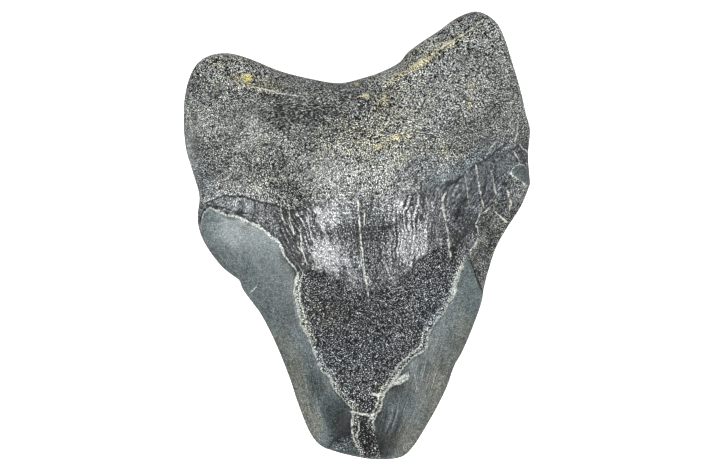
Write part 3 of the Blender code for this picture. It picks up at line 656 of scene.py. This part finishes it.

# Hairline cracks as (half width, strength, points), in layers. Long and short ones are filled with pale
# mineral and have a painted shadow on one side. The open ones are only dark: a few are dark cracks, and
# most are painted shadows along the ledges of the band and the shoulder, beside cracks and round the
# broken tip. A point of the mesh knows just the nearest crack of a layer, so those of one layer lie
# about a millimetre or more apart.
CRACKS = {
    "long_cracks": (
        (0.15, 0.95, ((0.2, 7.4), (0.6, 2.8), (0.7, 0.5), (1, -2), (1.4, -5.5), (1.8, -9), (2.5, -13.2))),
        (0.22, 0.8, ((19.6, 9), (18.9, 7.9), (19.4, 4.9), (20.3, 0.2), (20.8, -4.8))),
        (0.16, 0.8, ((26.6, 15.2), (27, 12.2), (28.2, 6.6))),
        (0.12, 0.5, ((29.4, 15.4), (30.3, 13.3), (31, 9.6))),
        (0.11, 0.45, ((24.1, 12.9), (24.9, 7.6), (25.2, 6.2))),
        (0.13, 0.6, ((13.5, 8.3), (14.4, 4.9))),
        (0.17, 0.85, ((-12.6, 1.3), (-12.4, -2.7), (-11.4, -6))),
        (0.14, 0.7, ((-16.9, 7.2), (-17, 4.6), (-16.1, 3))),
        (0.14, 0.9, ((36.2, 20.5), (37, 19.5), (38.2, 18.6))),
        (0.13, 0.7, ((-22.6, -11.5), (-23.5, -12.6))),
        (0.25, 0.8, ((-29.3, 39.8), (-28.7, 38.4))),
        (0.17, 1, ((28.3, 48.2), (25.4, 45.9), (23.2, 44.4), (20, 42.6), (17.8, 41))),
        (0.14, 0.75, ((-29.2, 34.9), (-25, 33.7), (-21.4, 32.7), (-17, 31.6), (-12.5, 30.9))),
        (0.2, 0.8, ((3.2, -35.6), (4.4, -35.9), (6.1, -35.2), (7, -34.5))),
        (0.15, 0.75, ((-1.1, -40.4), (-1.3, -43), (-0.9, -45), (-0.4, -46.7), (1.1, -48.5), (1.4, -49.3))),
        (0.12, 0.6, ((29.7, 19.4), (31.9, 21.8), (33.8, 24.4), (34.9, 26.2))),
    ),
    "short_cracks": (
        (0.13, 0.8, ((1.6, 5), (1.6, 2.4))),
        (0.1, 0.8, ((0.8, -3.6), (1, -6.8), (1.9, -9.4))),
        (0.12, 0.5, ((15.5, 8), (16, 5.3))),
        (0.14, 0.8, ((-15.2, 6.6), (-15, 3.4), (-14.2, 0.6))),
        (0.14, 0.75, ((-11, 4.6), (-10.6, 1.6), (-10, -1))),
        (0.19, 1, ((28.5, 5.2), (30, 6.4), (30.6, 7.1), (30.9, 5.3), (32.3, 4.1), (33.5, 3))),
        (0.14, 0.9, ((35.1, 18.6), (36, 17.2), (36.4, 16))),
        (0.18, 0.95, ((25.4, -3.6), (26.8, -1.6), (27.2, 0.6), (26.6, 2.6), (27.4, 4.6))),
        (0.12, 0.35, ((6.3, -6.1), (7.2, -8.8), (8.4, -10.8))),
        (0.3, 0.9, ((-0.9, -39.7), (1.1, -40.2), (3.4, -40.4), (5, -39.4))),
        (0.14, 0.6, ((0.4, -41.6), (0.5, -43.5), (-0.1, -45), (0.6, -47.2))),
        (0.15, 0.7, ((36, 26.4), (35.8, 22.6), (35.4, 20.8))),
        (0.1, 0.6, ((12.9, -31.4), (13.4, -34.5))),
        (0.2, 0.8, ((33.6, 10.2), (34.6, 7.4), (34.2, 5.6))),
    ),
    "open_cracks_and_shadows": (
        (0.23, 0.95, (
            (-33.8, 7.2), (-32, 7.9), (-29.7, 8.8), (-25.2, 8.6), (-22.3, 7.5), (-19.6, 7), (-16.4, 5.9),
        )),
        (0.25, 0.9, ((-31.4, 6.4), (-29.5, 6), (-27.6, 5.2), (-24.8, 4.8))),
        (0.34, 0.9, ((20.8, 11.2), (23.3, 12.9))),
        (0.26, 0.85, ((25.4, 14.8), (29.8, 17.6), (33.4, 20.4))),
        (0.2, 0.9, ((25.6, -6.2), (26.8, -9.4), (28.3, -13))),
        (0.2, 0.7, ((-14.2, 4), (-13.8, -2), (-12.8, -7))),
        (0.16, 0.7, ((-16.3, 5), (-15.9, 1))),
        (0.16, 0.7, ((-11.9, 4.5), (-11.4, 0.5), (-10.6, -5.5))),
        (0.14, 0.6, ((17.2, 9.3), (17.6, 5.5))),
        (0.14, 0.6, ((11.2, 8.2), (11.9, 4.9))),
        (0.14, 0.6, ((22.2, 9.6), (22.6, 5.5), (22.3, 4))),
        (0.42, 0.6, ((20.9, -4.1), (23.1, -1), (25.2, 1.2), (27.2, 4.6))),
        (0.2, 0.6, ((-6, 0.2), (-3.5, -0.6), (-0.8, -0.2))),
        (0.32, 1, ((-6.2, -47.6), (-5, -45.9), (-3.4, -44.9), (-1.5, -44.6))),
        (0.18, 0.6, ((-5.3, -48.5), (-1.5, -49.1), (2.5, -49.6), (6.5, -49.8))),
        (0.22, 0.8, ((15.6, -4.3), (12.8, -6.6), (10.8, -9), (8.5, -10.2))),
        (0.24, 0.6, ((0.1, 0.4), (0.5, -3), (0.9, -5.6))),
        (0.25, 0.7, ((29.6, 1.6), (30.4, -1.2), (29.2, -4))),
        (0.22, 0.6, ((33.4, 0.8), (35.2, 4.2), (34.9, 7))),
        (0.22, 0.7, ((4.3, 1.2), (7, 1.5), (9.7, 2.9))),
    ),
}
# A crack's strength is full this near to it, and nothing beyond its reach.
CRACK_CORE, CRACK_REACH = 0.35, 1.0


def patches(spots):
    """How strongly the soft patches colour each place."""
    strength = np.zeros(count)
    for patch_x, patch_y, half_width, half_height, amount in spots:
        share = ((x - patch_x) / half_width) ** 2 + ((y - patch_y) / half_height) ** 2
        strength += amount * np.exp(-share)
    return strength * is_upper


def crease_strips(strips):
    """How strongly the strips along the creases colour each place."""
    strength = np.zeros(count)
    for ridge, width, middle, reach, amount, drop in strips:
        away = (distance_to(ridge, x, y + drop) + STRIP_FRAY * fray) / width
        strength += amount * np.exp(-(away**2) - ((x - middle) / reach) ** 2)
    return strength * is_upper


def crack_layer(cracks):
    """How far off the nearest crack each place is, with a sign, how strong that crack is, and its width."""
    layer = np.zeros((count, 3))
    nearest = np.full(count, np.inf)
    for half_width, strength, points in cracks:
        for (ax, ay), (bx, by) in zip(points, points[1:]):
            away = np.hypot(*off_segment((ax, ay), (bx, by), x, y))
            sign = np.where((x - ax) * (by - ay) > (y - ay) * (bx - ax), 1, -1)
            here = strength * ramp(away, CRACK_REACH, CRACK_CORE) * is_upper
            closer = away < nearest
            layer[closer] = np.stack([sign * away, here, np.full(count, half_width)], axis=-1)[closer]
            nearest = np.minimum(nearest, away)
    return layer


def store(name, values, kind="FLOAT", field="value"):
    """Keeps values for each point of the mesh, for the material to read."""
    attribute = tooth_mesh.attributes.new(name, kind, "POINT")
    attribute.data.foreach_set(field, np.ascontiguousarray(values, np.float32).ravel())


stored = {name: patches(spots) for name, spots in PATCHES.items()}
stored["ochre"] += crease_strips(SAND_STRIPS)
stored["combed"] = np.minimum(stored["combed"], 1)
stored.update(
    crest=crease_strips(CRUST_AND_SHADOW_STRIPS), root=root, enamel=enamel, band=band, shoulder=shoulder, edge=edge,
    remnant=remnant, chip=chip, blurred=blurred, across=across, down=down,
)
for name, values in stored.items():
    store(name, values)
for name, cracks in CRACKS.items():
    store(name, crack_layer(cracks), "FLOAT_VECTOR", "vector")

# -----------------------------------------------------------------------------
# The tooth: material.
# Mineralised dentine is nearly black with pale grains where its fine canals come out. The root has
# more and paler grains, the dense band below it is smoother and polished in places, and the enamel
# is a smooth blue-grey with a soft sheen. Broken enamel shows a pale, cream edge.

SPECULAR, COAT_ROUGHNESS = 0.08, 0.28
# However far a tissue is lightened, it stays darker than this.
PALEST = 0.8
# Sizes of the noise in mm, from single grains to broad clouds, and how combed grains are drawn out.
GRAIN, CLUMP, MOTTLE, CLOUD = 0.22, 0.7, 2.3, 6.0
COMB = (0.4, 1.1, 1.0)
# Heights count for less in the noise, so that grains are drawn out up the tooth's sides.
HEIGHT_SHARE = 0.55
# For what runs lengthwise: half the tooth's width, its length, and how far strokes, furrows and
# streaks are drawn out (1 is not at all).
HALF_WIDTH, LENGTH = 34.0, 84.0
STROKE_DRAW, FURROW_DRAW, STREAK_DRAW = 0.42, 0.14, 0.04
# How far a crack's filling and its gap fade out, in half widths of the crack.
SOFT_EDGE = 1.6


class Nodes:
    """Adds nodes to a tree, so that a material reads as a formula.

    An input is a number, a colour, a socket, or a list of terms, which stands for their sum.
    """

    def __init__(self, tree):
        self.tree = tree

    def outputs(self, kind, inputs, **settings):
        """Adds a node, and gives all its outputs."""
        node = self.tree.nodes.new("ShaderNode" + kind)
        for key, value in settings.items():
            setattr(node, key, value)
        for key, value in inputs.items():
            if isinstance(value, list):
                value = self.sum(*value)
            if isinstance(value, bpy.types.NodeSocket):
                self.tree.links.new(value, node.inputs[key])
            else:
                node.inputs[key].default_value = value
        return node.outputs

    def add(self, kind, inputs, output=0, **settings):
        """Adds a node, and gives one of its outputs."""
        return self.outputs(kind, inputs, **settings)[output]

    def math(self, operation, *values):
        return self.add("Math", dict(enumerate(values)), operation=operation)

    def sum(self, *terms):
        """The sum of terms, each of them a value or a pair of a value and its weight."""
        total = 0.0
        for term in terms:
            value, weight = term if isinstance(term, tuple) else (term, 1.0)
            total = self.math("MULTIPLY_ADD", value, weight, total)
        return total

    def times(self, product, *factors):
        for factor in factors:
            product = self.math("MULTIPLY", product, factor)
        return product

    def plus(self, first, second):
        return self.math("ADD", first, second)

    def without(self, mask):
        """1 less the mask."""
        return self.math("SUBTRACT", 1.0, mask)

    def size(self, value):
        """The value without its sign."""
        return self.math("ABSOLUTE", value)

    def most(self, first, second):
        return self.math("MAXIMUM", first, second)

    def spread(self, value, start, end, low=0.0, high=1.0):
        """Low up to start, high from end, and a smooth rise between."""
        stops = {"From Min": start, "From Max": end, "To Min": low, "To Max": high}
        return self.add("MapRange", {"Value": value, **stops}, interpolation_type="SMOOTHSTEP")

    def mix(self, share, first, second):
        """Mixes two numbers."""
        return self.add("Mix", {0: share, 2: first, 3: second}, data_type="FLOAT")

    def blend(self, share, first, second):
        """Mixes two colours."""
        return self.add("Mix", {0: share, 6: first, 7: second}, 2, data_type="RGBA")

    def stretch(self, vector, factors):
        return self.add("VectorMath", {0: vector, 1: factors}, operation="MULTIPLY")

    def ripples(self, place, size, detail=2.0, roughness=0.6, stretch=(1, 1, 1)):
        """Smooth noise from -0.5 to 0.5, whose features are about this size in millimetres."""
        scaled = self.stretch(place, stretch)
        inputs = {"Vector": scaled, "Scale": 1 / size, "Detail": detail, "Roughness": roughness}
        return self.math("SUBTRACT", self.add("TexNoise", inputs), 0.5)

    def attribute(self, name, output="Fac"):
        return self.add("Attribute", {}, output, attribute_name=name)

    def parts(self, vector):
        return self.outputs("SeparateXYZ", {0: vector})


def mineral_group():
    """The colour of one tissue: a tint, a middle lightness, and the natural log of how far it is off that."""
    group = bpy.data.node_groups.new("Mineral", "ShaderNodeTree")
    for name, kind, in_out in (
        ("Tint", "Color", "INPUT"), ("Lightness", "Float", "INPUT"), ("Log Change", "Float", "INPUT"),
        ("Color", "Color", "OUTPUT"),
    ):
        group.interface.new_socket(name, in_out=in_out, socket_type="NodeSocket" + kind)
    nodes = Nodes(group)
    given, made = group.nodes.new("NodeGroupInput").outputs, group.nodes.new("NodeGroupOutput").inputs
    light = nodes.times(nodes.math("EXPONENT", given["Log Change"]), given["Lightness"])
    light = nodes.math("DIVIDE", light, nodes.plus(1.0, nodes.times(light, 1 / PALEST)))
    color = nodes.add("VectorMath", {0: given["Tint"], "Scale": light}, operation="SCALE")
    group.links.new(color, made["Color"])
    return group


tooth_material = bpy.data.materials.new("fossil_tooth")
tooth_material.use_nodes = True
tooth_tree = tooth_material.node_tree
n = Nodes(tooth_tree)
mineral = mineral_group()

place = n.stretch(n.add("TexCoord", {}, "Object"), (1 / MM, 1 / MM, HEIGHT_SHARE / MM))
root_depth, enamel_depth, band_depth, shoulder_depth, edge_depth, remnant_depth, chip_depth = map(
    n.attribute, ("root", "enamel", "band", "shoulder", "edge", "remnant", "chip")
)
upper, blur, crest = map(n.attribute, ("upper", "blurred", "crest"))
ochre, tan, olive, tone_and_painted_light, polish, smooth, combed, streaky, pleats, seam, double = map(n.attribute, PATCHES)

coarse, rough = n.spread(smooth, 1.0, -0.2, 0.4, 1.0), n.spread(smooth, -0.1, -1.0)
grains = n.mix(combed, n.ripples(place, GRAIN, 1.0), n.ripples(place, GRAIN, 1.0, stretch=COMB))
curls = n.spread(n.size(n.ripples(place, CLUMP, 1.0, 0.5)), 0.06, 0.0, -0.02, 0.075)
grains = n.sum((grains, 0.88), curls)
clumps = n.ripples(place, CLUMP)
mottle = n.ripples(place, MOTTLE, 2.0, 0.55)
cloud = n.ripples(place, CLOUD, 3.0, 0.55)
# Lengthwise places: millimetres across the tooth and down it, wandering a little.
across_mm = n.sum((n.attribute("across"), HALF_WIDTH), (cloud, 3.0), (mottle, 1.2))
lengthwise = n.add("CombineXYZ", {0: across_mm, 1: n.times(n.attribute("down"), LENGTH)})
strokes = n.ripples(lengthwise, GRAIN, 1.0, stretch=(1.0, STROKE_DRAW, 1.0))
furrows = n.ripples(lengthwise, 1.0, 2.0, 0.5, (1.0, FURROW_DRAW, 1.0))
streaks = n.ripples(lengthwise, 0.36, stretch=(1.0, STREAK_DRAW, 1.0))
# Painted shade: darker in the bottoms of the furrows.
painted_furrow_shade = n.spread(furrows, 0.0, -0.13)
frays = n.ripples(place, CLUMP, 3.0, 0.7)
wander = n.ripples(place, 1.0, 3.0)
pleat = n.math("SINE", [(across_mm, 6.6), (wander, 3.0), (clumps, 1.5)])


def inside(depth, width, fray=0.9):
    """A mask of one tissue, with a finely frayed border."""
    return n.spread(n.plus(depth, n.times(frays, fray)), n.times(width, -1.0), width)


def streak(away, width, core):
    """A line: 1 within this share of its width, and 0 beyond its soft edge."""
    return n.spread(n.size(away), n.times(width, SOFT_EDGE), n.times(width, core))


def crack_masks(name):
    """One layer of cracks: the pale filling as a mask, and the painted shadow beside it."""
    off_crack, strength, half_width = n.parts(n.attribute(name, "Vector"))
    away = n.sum((wander, 0.9), (clumps, 0.25), off_crack)
    width = n.times(half_width, n.plus(1.0, n.times(mottle, 2.6)))
    filling, shadow_beside = streak(away, width, 0.4), streak(n.plus(away, n.times(width, SOFT_EDGE)), width, 0.5)
    return n.times(filling, strength), n.times(shadow_beside, strength)


def tissue(tint, lightness, *changes):
    """The colour of one tissue at its middle lightness, lighter or darker by the sum of the changes."""
    inputs = {"Tint": tint, "Lightness": lightness, "Log Change": list(changes)}
    return n.add("Group", inputs, "Color", node_tree=mineral)


on_root = inside(root_depth, n.plus(0.1, n.times(blur, 1.6)), n.plus(0.9, n.times(blur, 3.0)))
on_enamel, on_band = inside(enamel_depth, 0.06, 0.5), inside(band_depth, 0.5, 1.6)
on_remnant = n.spread(remnant_depth, -0.05, 0.05)
on_shoulder = n.times(inside(shoulder_depth, 0.2), n.without(on_remnant))
# The pleats drawn in colour: painted light on the crests and painted shade in the troughs.
painted_pleat_light = n.times(pleats, [(n.spread(pleat, 0.3, 0.95), 1.1), (n.spread(pleat, 0.0, -0.8), -1.7)])
# Where the band shines: more gloss, and a painted sheen that lightens its colour.
polish_and_painted_sheen = n.spread([polish, mottle, (clumps, 0.5), (painted_pleat_light, 0.35), (furrows, 1.5)], 0.15, 0.8)

# Root: pale grains on near black, smoother at its worn sides, ochre sand in places, and painted shade: a
# little darker towards its steep edges, and a dark line under each crease.
ROOT_GREY, ROOT_BLUE, ROOT_TAN = (0.955, 1, 0.975, 1), (0.84, 0.97, 1.045, 1), (1.03, 1, 0.74, 1)
SAND_PALE, SAND_YELLOW = (1.06, 1, 0.68, 1), (1.15, 1, 0.36, 1)
ROOT_LIGHTNESS, SAND_LIGHTNESS = 0.06, 0.23
# Painted shade: a little darker within 4 mm of the edge, where the sides turn steep.
worn = n.spread(edge_depth, 4.0, 0.5)
warm = n.spread([tan, (crest, 0.5), (clumps, 2.5), (grains, 1.5), (mottle, 1.5)], 0.15, 1.3)
cool = n.spread([tan, cloud, (clumps, 0.5)], 0.1, -0.7)
crust = n.spread(crest, 0.75, 1.3, 1.0, 0.3)
root_color = tissue(
    n.blend(warm, n.blend(cool, ROOT_GREY, ROOT_BLUE), ROOT_TAN), ROOT_LIGHTNESS,
    (grains, n.times(coarse, crust, [(cloud, 20.0), (rough, 20.0), 25.0])),
    (clumps, [(coarse, 4.0), (rough, 13.0)]), (mottle, 1.9), (cloud, 1.2), (tone_and_painted_light, 0.9), (worn, -0.1),
    (crest, 0.8), (smooth, 0.2), (rough, -0.4),
)
sand = n.spread([ochre, (grains, 1.8), (clumps, 1.2)], 0.3, 0.75)
sand_tint = n.blend(n.spread(ochre, 0.9, 1.5), SAND_PALE, SAND_YELLOW)
sand_color = tissue(sand_tint, SAND_LIGHTNESS, (grains, 17.0), (ochre, 0.7))
root_color = n.blend(sand, root_color, sand_color)

# Dense band: dark, with fine strokes, pleats and furrows that run towards the tip. Painted shade darkens
# the furrows and the troughs of the pleats, and painted light lifts the pleats' crests and the places
# that shine. A painted shadow, a dark line, follows the ledge of the broken enamel.
BAND_GREY, BAND_BLUE, BAND_LIGHTNESS = (0.93, 1, 1.025, 1), (0.88, 0.985, 1.065, 1), 0.034
SEAM_SHADOW_OFF = 0.62
# Painted shadow: a dark line beside the ledge where the enamel broke off.
painted_seam_shadow = n.spread(n.size([(frays, 0.7), enamel_depth, seam, SEAM_SHADOW_OFF]), 0.35, 0.05)
painted_seam_shadow = n.times(painted_seam_shadow, n.spread(remnant_depth, -1.5, -3.0))
bluer = n.spread(tan, -0.1, -0.9)
band_color = tissue(
    n.blend(bluer, BAND_GREY, BAND_BLUE), BAND_LIGHTNESS,
    (strokes, n.times(coarse, 12.0)), (grains, n.times(coarse, 13.0)), (painted_furrow_shade, -1.0), (clumps, 2.5),
    (mottle, 0.8), (tone_and_painted_light, 0.9), (polish_and_painted_sheen, 0.4), (smooth, 0.3), painted_pleat_light, (painted_seam_shadow, -1.2),
)

# Bared dentine: almost black, with sharp pale grains, thickest beside the enamel.
DENTINE_GREY, DENTINE_BLUE, DENTINE_BROWN = (0.93, 0.99, 1.02, 1), (0.885, 0.98, 1.06, 1), (1, 1, 0.86, 1)
DENTINE_LIGHTNESS = 0.0102
beside_enamel = n.spread(enamel_depth, -2.0, -0.5)
browner = n.spread([tan, cloud, (beside_enamel, 0.5)], 0.1, 0.7)
dentine_color = tissue(
    n.blend(browner, n.blend(bluer, DENTINE_GREY, DENTINE_BLUE), DENTINE_BROWN), DENTINE_LIGHTNESS,
    (grains, n.times(coarse, n.plus(26.5, n.times(rough, 8.0)))), (clumps, 3.5), (mottle, 0.8), (cloud, 0.8),
    (tone_and_painted_light, 0.9), (beside_enamel, 1.5), (smooth, 0.15),
)

# Enamel: blue-grey, olive towards its worn cutting edges, with faint lengthwise streaks. The outer
# face also has dark hairlines.
ENAMEL_GREY, ENAMEL_BLUE, ENAMEL_OLIVE = (0.82, 1, 1.02, 1), (0.76, 1, 1.06, 1), (0.93, 1, 0.87, 1)
ENAMEL_LIGHTNESS = 0.058
labial = n.without(upper)
# Painted shade: darker in a thin strip along the rim.
painted_rim_shade = n.spread(edge_depth, 0.6, 0.1)
streak_light = n.times(streaks, [0.9, (streaky, 9.0), (labial, 1.6)])
edge_chips = n.times(n.spread(edge_depth, 0.9, 0.2), n.spread([clumps, grains], 0.14, 0.25))
hairlines = n.times(labial, n.spread(n.size(furrows), 0.014, 0.002))
bluish = n.blend(n.spread(olive, -0.1, -1.0), ENAMEL_GREY, ENAMEL_BLUE)
olive_share = n.spread([olive, (cloud, 0.8), (grains, 0.5), (on_remnant, 0.4)], 0.2, 1.0)
enamel_color = tissue(
    n.blend(olive_share, bluish, ENAMEL_OLIVE), ENAMEL_LIGHTNESS,
    (grains, n.plus(5.5, n.times(rough, 13.0))), (clumps, n.plus(1.8, n.times(rough, 3.5))), (mottle, 0.8),
    (cloud, 0.8), (tone_and_painted_light, 0.9), streak_light, (painted_rim_shade, -0.3), (rough, -0.4), (hairlines, -0.7),
    (edge_chips, 0.9), (on_remnant, -0.35),
)

# Broken shoulder: brownish, rough and specked.
SHOULDER_GREY, SHOULDER_BROWN, SHOULDER_LIGHTNESS = (0.94, 1, 1, 1), (1, 1, 0.86, 1), 0.038
brownish = n.spread(n.plus(mottle, grains), 0.0, 0.35)
shoulder_color = tissue(
    n.blend(brownish, SHOULDER_GREY, SHOULDER_BROWN), SHOULDER_LIGHTNESS,
    (grains, n.plus(14.0, n.times(rough, 8.0))), (clumps, n.plus(4.0, n.times(rough, 4.0))), (mottle, 2.8),
    cloud, (tone_and_painted_light, 0.9),
)

# Cream line where the enamel broke off. It is missing against the shoulder, where a painted shadow is,
# and at the tip. A second, thinner line follows it in places, and the small chip is cream too.
CREAM, CREAM_LIGHTNESS, CREAM_WIDTH = (0.93, 1, 0.93, 1), 0.46, 0.19
SECOND_LINE_OFF = 1.05
LINE_END, LINE_FULL = -44.5, -41.5
by_shoulder = n.times(n.spread(shoulder_depth, -1.1, -0.4), n.spread(remnant_depth, -0.5, -1.0))
line_width = n.times(n.plus(CREAM_WIDTH, seam), n.plus(1.0, n.times(mottle, 3.0)))
line = n.plus([(frays, 0.7), enamel_depth], 0.1)
cream = n.spread(n.size(line), n.times(line_width, 1.5), n.times(line_width, 0.5))
second = n.spread(n.size([(wander, 1.2), line, SECOND_LINE_OFF]), 0.3, 0.08)
cream = n.most(cream, n.times(second, double))
above_tip = n.spread(n.parts(place)[1], LINE_END, LINE_FULL)
off_rim = n.spread(edge_depth, 0.2, 1.2)
cream = n.times(cream, upper, above_tip, n.times(n.without(on_root), off_rim))
cream = n.times(cream, n.without(by_shoulder), n.spread([clumps, (grains, 1.2)], -0.22, 0.02, 0.45, 1.0))
on_chip = n.times(upper, n.spread(n.plus(chip_depth, n.times(frays, 0.5)), -0.15, 0.2))
cream_color = tissue(CREAM, CREAM_LIGHTNESS, (grains, 9.0), (on_chip, -0.2))
cream = n.most(cream, n.times(on_chip, n.spread(n.plus(clumps, grains), -0.3, 0.1, 0.5, 1.0)))

# The tissues laid over each other, then the painted shadows beside the cracks and along the open
# ones, and the cracks' pale filling.
CRACK_AND_SHADOW_COLOR, FILLING_COLOR = (0.007, 0.007, 0.008, 1), (0.42, 0.43, 0.39, 1)
CRACK_SHADOW_STRENGTH = 0.65
tooth_color = dentine_color
for mask, color in (
    (on_band, band_color), (on_enamel, enamel_color), (on_shoulder, shoulder_color), (on_root, root_color),
    (cream, cream_color),
):
    tooth_color = n.blend(mask, tooth_color, color)
fillings, crack_shadows = zip(crack_masks("long_cracks"), crack_masks("short_cracks"))
broken_up = n.spread([clumps, (grains, 1.6), (mottle, 0.8)], -0.24, 0.12, 0.15, 1.0)
pale_cracks = n.times(n.most(*fillings), broken_up)
faded = n.spread([mottle, clumps, (grains, 0.8)], 0.22, -0.05, 0.85, 1.0)
shadow_line = n.times(crack_masks("open_cracks_and_shadows")[0], faded)
dark_cracks_and_shadows = n.most(n.times(n.most(*crack_shadows), CRACK_SHADOW_STRENGTH), shadow_line)
tooth_color = n.blend(dark_cracks_and_shadows, tooth_color, CRACK_AND_SHADOW_COLOR)
tooth_color = n.blend(pale_cracks, tooth_color, FILLING_COLOR)

# Roughness of each tissue, and the thin coat of polish on the worn band and the enamel.
DENTINE_ROUGH, BAND_ROUGH, ENAMEL_ROUGH, BROKEN_ROUGH, CREAM_ROUGH = 0.7, 0.5, 0.42, 0.85, 0.8
roughness = DENTINE_ROUGH
for mask, its_roughness in (
    (on_band, BAND_ROUGH), (on_enamel, ENAMEL_ROUGH), (n.most(on_root, on_shoulder), BROKEN_ROUGH),
    (cream, CREAM_ROUGH),
):
    roughness = n.mix(mask, roughness, its_roughness)
glints = n.spread([strokes, (grains, 1.2), (clumps, 0.6)], -0.16, 0.08, 0.25, 1.0)
coat = n.times(n.mix(on_root, n.plus(0.1, polish_and_painted_sheen), n.times(polish_and_painted_sheen, 0.9)), glints)
enamel_coat = n.times(n.plus(0.28, n.times(polish, 0.55)), n.spread(tone_and_painted_light, -0.8, 0.0))
coat = n.mix(on_enamel, n.times(coat, n.most(on_band, on_root)), enamel_coat)
coat = n.times(coat, n.without(on_shoulder), n.without(cream), n.spread(edge_depth, 0.3, 1.2))
coat = n.add("Clamp", {"Value": coat})

# Fine relief of each tissue, in mm.
relief = n.times(grains, 0.24)
for mask, its_relief in (
    (on_band, [(strokes, 0.14), (furrows, 0.12), (grains, 0.08)]),
    (on_enamel, [(streak_light, 0.01), (grains, 0.012)]),
    (on_shoulder, [(grains, 0.25), (clumps, 0.2)]),
    (on_root, [(grains, 0.26), (clumps, 0.15)]),
):
    relief = n.mix(mask, relief, its_relief)
relief = n.sum(relief, (pale_cracks, -0.05), (dark_cracks_and_shadows, -0.12), (cream, 0.05))
bump = n.add("Bump", {"Height": relief, "Distance": MM, "Strength": 1.0})

tooth_shader = tooth_tree.nodes["Principled BSDF"]
tooth_shader.inputs["Specular IOR Level"].default_value = SPECULAR
tooth_shader.inputs["Coat Roughness"].default_value = COAT_ROUGHNESS
for name, value in (
    ("Base Color", tooth_color), ("Roughness", roughness), ("Coat Weight", coat), ("Normal", bump),
):
    tooth_tree.links.new(value, tooth_shader.inputs[name])

tooth = bpy.data.objects.new("fossil_tooth", tooth_mesh)
scene.collection.objects.link(tooth)
tooth_mesh.materials.append(tooth_material)
tooth_mesh.shade_smooth()
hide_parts("tooth")
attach(tooth, "root")
